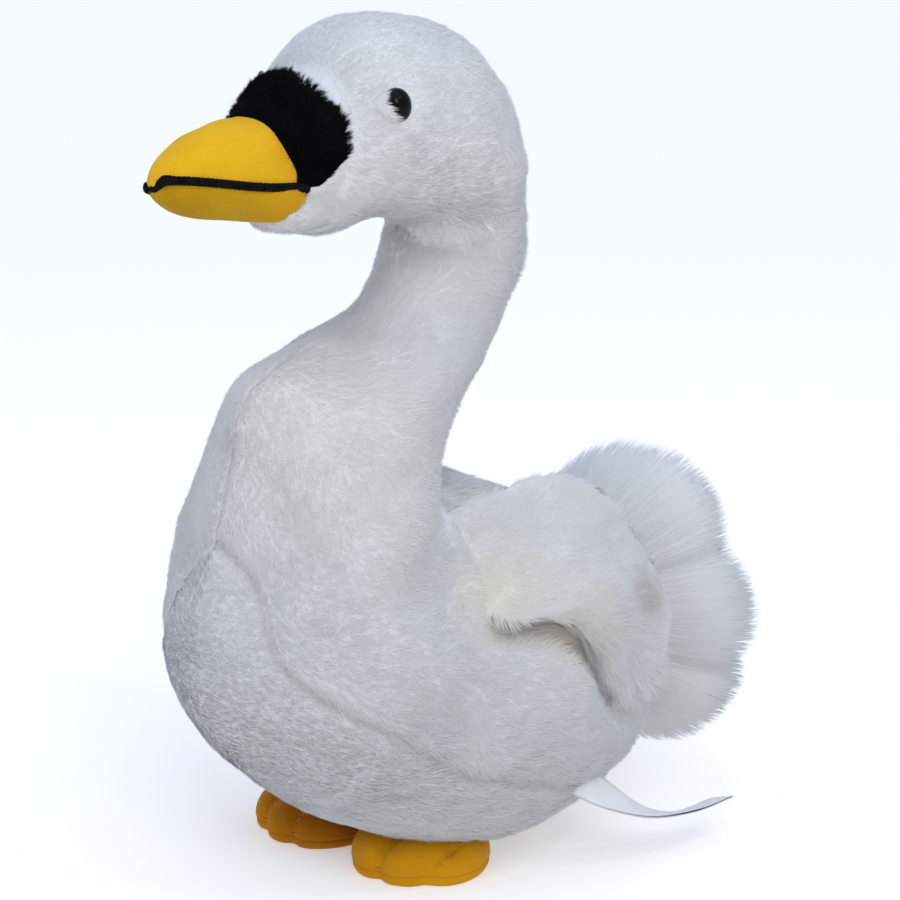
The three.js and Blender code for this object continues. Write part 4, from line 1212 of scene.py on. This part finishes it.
def tail_coat(name, count, seed, faces):
    """Long locks that leave the rump and sweep out and back to the outline."""
    r_ = np.random.default_rng(seed)
    tr, tuv = tail_tris[faces], tail_uv[faces]
    f, share = scatter(tail_pts, tr, count, r=r_)
    T, N = on_faces(tail_pts, tr, f, share), unit(on_faces(tail_nrm, tr, f, share))
    uv0 = np.einsum("nk,nkd->nd", share, tuv[f])
    n = len(T)
    fan = T - place(TAIL["f"], 0, TAIL["z"])
    ang = np.arctan2(fan[:, 0], fan[:, 2])
    deg = np.degrees(ang)
    valley = sum(near_angle(deg, on, 8.0) + near_angle(deg, -on, 8.0) for on in (60.0, 111.0))
    # painted shade in the folds between the lobes
    local_shade = np.clip(sum(near_angle(deg, on, 3.2) + near_angle(deg, -on, 3.2) for on in (60.0, 111.0)), 0, 1)
    T = T + N * (1.3 - 5.5 * r_.random(n) ** 2.4 - 1.6 * valley + 0.8 * tail_waves(T))[:, None]
    away = unit(T - ROOT_AT)
    F = away * 0.55 + np.array([0, 0.55, -0.04])
    F = unit(F)
    F = F + N * np.maximum(0, 0.36 - np.einsum("ij,ij->i", F, N))[:, None]
    F = unit(F + r_.normal(0, 0.05, (n, 3)))
    L = np.minimum(25.0 * r_.uniform(0.8, 1.15, n), np.linalg.norm(T - ROOT_AT, axis=1) * 0.85)
    P1 = T - F * (L * 0.52)[:, None]
    inner = unit(F * 0.35 + away * 0.9)
    P0 = P1 - inner * (L * 0.5)[:, None]
    # bunches: tips lean together
    T = clumped(P1, T, 8, 0.07, r_)
    s_ = np.array([0.0, 0.4, 0.74, 1.0])[None, :, None]
    C = P0[:, None] * (1 - s_) ** 2 + 2 * P1[:, None] * s_ * (1 - s_) + T[:, None] * s_ ** 2
    C[..., 2] = np.maximum(C[..., 2], 0.3)
    tan = unit(np.gradient(C, axis=1))
    up_ = unit(N[:, None] - tan * np.einsum("nkj,nj->nk", tan, N)[..., None])
    sd = np.cross(up_, tan)
    w0 = 0.66 * r_.uniform(0.7, 1.3, n)
    tone = 0.35 * r_.random(n) ** 2
    rows, nor, al, lu = [], [], [], []
    for j, part in enumerate((0.9, 1.0, 0.56)):
        w = (w0 * part / 2)[:, None]
        c = C[:, j]
        rows += [c - sd[:, j] * w, c + up_[:, j] * w * 0.7, c + sd[:, j] * w]
        nor += [unit(up_[:, j] * .75 - sd[:, j] * .66), up_[:, j], unit(up_[:, j] * .75 + sd[:, j] * .66)]
        al += [tone + (1 - tone) * j / 3] * 3
        lu += [[-.5, j / 3 - .5], [0, j / 3 - .5], [.5, j / 3 - .5]]
    rows.append(C[:, 3]); nor.append(up_[:, 3]); al.append(np.ones(n)); lu.append([0, .5])
    V = 10
    base = []
    for j in range(2):
        A = 3 * j
        base += [[A, A + 3, A + 4], [A, A + 4, A + 1], [A + 1, A + 4, A + 5], [A + 1, A + 5, A + 2],
                 [A + 2, A + 5, A + 3], [A + 2, A + 3, A]]
    base += [[6, 9, 7], [7, 9, 8], [8, 9, 6], [0, 1, 2]]
    tris = (np.arange(n)[:, None, None] * V + np.array(base)[None]).reshape(-1, 3)
    pts = np.stack(rows, 1).reshape(-1, 3)
    shell_share = np.repeat([0.3, 0.62, 0.84, 0.86], [3, 3, 3, 1])[None, :, None]
    lit = unit(N[:, None] * shell_share + np.stack(nor, 1) * (1 - shell_share))
    uv = (uv0[:, None] + np.array(lu)[None] * 0.003).reshape(-1, 2)[tris]
    make(name, pts, tris, M_TAIL, uv=uv, normals=lit.reshape(-1, 3),
         values={"along": np.stack(al, 1).ravel(), "dim": np.repeat(0.5 * local_shade, V)},
         slot="tail_plush")


middle = tail_pts[tail_tris].mean(1)
upper_half = middle[:, 2] > TAIL["z"]
tail_coat("coat_tail_upper", 12000, 41, np.where(upper_half)[0])
tail_coat("coat_tail_lower", 12000, 42, np.where(~upper_half)[0])

# --------------------------------------------------------------------- feet
FOOT = dict(toe=23.5, heel=15.5, half=23.5, square=2.3, height=15.5, notches=(-27.0, 21.0), notch=0.1, gw=8.0,
            lines=((3.0, 19.0), (-8.0, 8.0)), groove=2.2, rim=3.6)


def foot(name, f0, s0, splay, side, node):
    K, R = 200, 44
    a = 2 * np.pi * np.arange(K) / K
    deg = np.degrees(a)
    lines = FOOT["lines"][0 if side > 0 else 1]
    c_, s_ = np.abs(np.cos(a)) / np.where(np.cos(a) > 0, FOOT["toe"], FOOT["heel"]), np.abs(np.sin(a)) / FOOT["half"]
    radius = (c_ ** FOOT["square"] + s_ ** FOOT["square"]) ** (-1 / FOOT["square"])
    turn_ = math.radians(splay)
    # toes meet along straight sewn lines that run forwards from the body
    rim_s = radius * (np.cos(a) * math.sin(turn_) + np.sin(a) * math.cos(turn_))
    rim_f = radius * (np.cos(a) * math.cos(turn_) - np.sin(a) * math.sin(turn_))
    front = smooth((rim_f + 2) / 8)
    notch = sum(np.exp(-((rim_s - g) / 3.4) ** 2) for g in lines) * front
    radius = radius * (1 - FOOT["notch"] * notch)
    puff, pucker = Waves(51 + side, 13, 8), Waves(55 + side, 3.2, 12, (1, 1, 3))

    def at(r, h):
        u_, v_ = radius * r * np.cos(a), radius * r * np.sin(a)
        c, s = math.cos(turn_), math.sin(turn_)
        return place(f0 + u_ * c - v_ * s, side * (s0 + u_ * s + v_ * c), h + 0 * a)

    rows = []
    for i in range(1, R):
        r = math.sin(math.pi / 2 * i / R) ** 0.9
        cut = float(smooth((r - 0.25) / 0.4))
        h = FOOT["rim"] + 2 + (FOOT["height"] - FOOT["rim"] - 2) * math.sqrt(1 - r ** 2.6)
        p = at(r, h)
        f_, l_ = swan_of(p)[0] - f0, side * p[:, 0] - s0
        wide_ = sum(np.exp(-((l_ - g) / 3.2) ** 2) for g in lines) * smooth((f_ + 4) / 9) * cut
        thin_ = sum(np.exp(-((l_ - g) / 1.0) ** 2) for g in lines) * smooth((f_ + 4) / 9) * cut
        p[:, 2] -= (FOOT["groove"] * wide_ + 0.9 * thin_) * (0.35 + 0.65 * math.sqrt(max(0.0, 1 - r ** 4)))
        p[:, 2] += 0.30 * puff(p) * cut + 0.22 * pucker(p) * np.clip(wide_ + smooth((r - 0.8) / 0.2), 0, 1)
        rows.append(p)
    # the seam round the sole: out, in at the sewn line, out again and under
    for r, h in ((1.0, 5.0), (1.004, 4.4), (1.0, 3.9), (0.975, 3.45), (0.972, 3.25), (0.985, 2.9), (0.99, 2.2), (0.985, 1.3),
                 (0.968, 0.5), (0.94, 0.05), (0.8, 0.0), (0.5, 0.0), (0.2, 0.0)):
        rows.append(at(r, h))
    P = np.stack(rows)
    pts, tris, uv = grid_mesh(P, at(0.0, FOOT["height"])[0], at(0.0, 0.0)[0])
    o = make(name, pts, tris, M_FOOT, uv=uv, slot="foot_velour")
    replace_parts(o, node)
    # sewn stitches in the two grooves
    parts, base = [], 0
    top_tree = tree_of(pts, tris)
    for g in lines:
        run = []
        for f_ in np.arange(-3.0, 30.0, 0.8):
            hit = top_tree.ray_cast(Vector(place(f0 + f_, side * (s0 + g), 40.0)), Vector((0, 0, -1)))[0]
            if hit is not None and hit[2] > FOOT["rim"] + 1.2:
                run.append(list(hit))
        line = np.array(run)
        cum = np.concatenate([[0], np.cumsum(np.linalg.norm(np.diff(line, axis=0), axis=1))])
        s = 1.0
        while s + 1.9 < cum[-1]:
            t_ = np.linspace(s, s + 1.9, 7)
            p = np.stack([np.interp(t_, cum, line[:, j]) for j in range(3)], -1)
            p[:, 2] += 0.26 * np.sin(np.linspace(0, np.pi, 7)) - 0.04
            r = 0.26 * (0.55 + 0.45 * np.sin(np.linspace(0.1, np.pi - 0.1, 7)))
            q, tr, _ = tube(p, r, r, np.tile([0, 0, 1.0], (7, 1)), 8)
            parts.append((q, tr + base))
            base += len(q)
            s += 2.9
    pts = np.vstack([q for q, _ in parts])
    tris = np.vstack([t for _, t in parts])
    make(name + "_stitches", pts, tris, M_STITCH, slot="foot_velour")


foot("foot_pad_left", 3.2, 14.6, 35.0, 1, "foot_left")
foot("foot_pad_right", 6.8, 33.4, 12.0, -1, "foot_right")

# -------------------------------------------------------------------- label
LABEL = dict(width=11.5, path=[[-25, 59.5, 36.5], [-37, 63.5, 28.0], [-53, 66.8, 19.0], [-70, 68.8, 14.6], [-87.5, 70.0, 15.4]],
             turnFrom=60.0, turnTo=-22.0)


def label():
    n = 90
    t = np.linspace(0, 1, n)
    c = rows_at(LABEL["path"], t * (len(LABEL["path"]) - 1))
    p = place(*c.T)
    along = unit(np.gradient(p, axis=0))
    a = np.radians(LABEL["turnFrom"] + (LABEL["turnTo"] - LABEL["turnFrom"]) * smooth(t * 1.25))
    side = unit(np.cross(along, [0, 0, 1.0]))
    lift = np.cross(side, along)
    wide = -side * np.cos(a)[:, None] + lift * np.sin(a)[:, None]
    flat = unit(np.cross(along, wide))
    gap, th = 0.34 + 0.16 * np.sin(np.pi * t) ** 2, 0.17
    out = p + flat * gap[:, None]
    back = (p - flat * gap[:, None])[::-1]
    m = 7
    b = np.linspace(0, np.pi, m + 2)[1:-1]
    fold = p[-1] + flat[-1] * (np.cos(b) * gap[-1])[:, None] + along[-1] * (np.sin(b) * gap[-1])[:, None]
    q = np.vstack([out, fold, back])
    w = np.vstack([wide, np.tile(wide[-1], (m, 1)), wide[::-1]])
    tang = unit(np.gradient(q, axis=0))
    nn = unit(np.cross(tang, w))
    half = LABEL["width"] / 2
    xs = np.linspace(-1, 1, 9)
    top = q[:, None] + w[:, None] * (xs * half)[None, :, None] + nn[:, None] * (th / 2)
    bot = (q[:, None] + w[:, None] * (xs * half)[None, :, None] - nn[:, None] * (th / 2))[:, ::-1]
    ring = np.concatenate([top, bot], 1)
    pts, tris, uv = grid_mesh(ring, q[0], q[-1])
    length = np.linalg.norm(np.diff(q, axis=0), axis=1).sum()
    o = make("label_ribbon", pts, tris, M_RIBBON, slot="ribbon")
    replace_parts(o, "label")
    return length


LABEL_LENGTH = label()

# -------------------------------------------------------------- the setting
def floor():
    me = bpy.data.meshes.new("floor")
    n, s = 24, 14.0
    x = np.linspace(-s, s, n)
    X, Y = np.meshgrid(x, x, indexing="ij")
    pts = np.stack([X, Y, 0 * X], -1).reshape(-1, 3)
    i, j = np.meshgrid(np.arange(n - 1), np.arange(n - 1), indexing="ij")
    a = (i * n + j).ravel()
    me.from_pydata(pts.tolist(), [], np.stack([a, a + n, a + n + 1, a + 1], -1).tolist())
    m = bpy.data.materials.new("floor")
    m.use_nodes = True
    b = m.node_tree.nodes["Principled BSDF"]
    b.inputs["Base Color"].default_value = (0.86, 0.85, 0.835, 1)
    b.inputs["Emission Color"].default_value = (1.0, 0.99, 0.97, 1)
    b.inputs["Emission Strength"].default_value = 0.30
    b.inputs["Roughness"].default_value = 1.0
    b.inputs["Specular IOR Level"].default_value = 0.0
    me.materials.append(m)
    o = bpy.data.objects.new("floor", me)
    bpy.context.scene.collection.objects.link(o)
    o.visible_diffuse = False                             # the light from below comes from the surroundings
    o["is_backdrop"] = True


floor()


def area(name, at, aim, size, power, colour):
    d = bpy.data.lights.new(name, "AREA")
    d.shape, d.size = "DISK", size
    d.energy, d.color = power, colour
    o = bpy.data.objects.new(name, d)
    bpy.context.scene.collection.objects.link(o)
    o.location = at
    o.rotation_euler = (Vector(aim) - Vector(at)).to_track_quat("-Z", "Y").to_euler()
    return o


area("key", (0.95, -0.64, 1.02), (0.0, 0.0, 0.15), 0.60, 4.3, (1.0, 0.985, 0.96))
area("fill", (0.17, -0.30, 0.185), (0.005, -0.004, 0.208), 0.10, 0.0042, (1.0, 0.99, 0.97)).data.spread = math.radians(30)
area("glint", (0.80, 0.06, 1.13), (0.035, -0.05, 0.26), 0.09, 1.0, (1.0, 1.0, 1.0))
sun = bpy.data.lights.new("sky_light", "SUN")
sun.energy, sun.angle, sun.color = 0.66, math.radians(80), (0.97, 0.99, 1.0)
sun_o = bpy.data.objects.new("sky_light", sun)
bpy.context.scene.collection.objects.link(sun_o)
sun_o.rotation_euler = (Vector((0, 0, 0)) - Vector((0.30, -0.40, 1.0))).to_track_quat("-Z", "Y").to_euler()
world = bpy.data.worlds.new("world")
bpy.context.scene.world = world
world.use_nodes = True
wt = world.node_tree
bg = wt.nodes["Background"]
bg.inputs["Strength"].default_value = 1.0
wc = wt.nodes.new("ShaderNodeTexCoord")
wx = wt.nodes.new("ShaderNodeSeparateXYZ")
wr = wt.nodes.new("ShaderNodeValToRGB")
wt.links.new(wc.outputs["Generated"], wx.inputs["Vector"])
wt.links.new(wx.outputs["Z"], wr.inputs["Fac"])
wt.links.new(wr.outputs["Color"], bg.inputs["Color"])
wr.color_ramp.elements[0].position, wr.color_ramp.elements[0].color = 0.0, (0.74, 0.755, 0.79, 1)
wr.color_ramp.elements[1].position, wr.color_ramp.elements[1].color = 1.0, (0.60, 0.70, 0.97, 1)
mid_ = wr.color_ramp.elements.new(0.35)
mid_.color = (0.41, 0.445, 0.52, 1)
bpy.context.scene.view_settings.view_transform = "Standard"
bpy.context.scene.view_settings.look = "None"

for row in made_coats:
    print("coat %s area %.0f tufts %d" % row)
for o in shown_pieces():
    if o.name.startswith("coat"):
        print(o.name, len(o.data.polygons))

lo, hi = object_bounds()
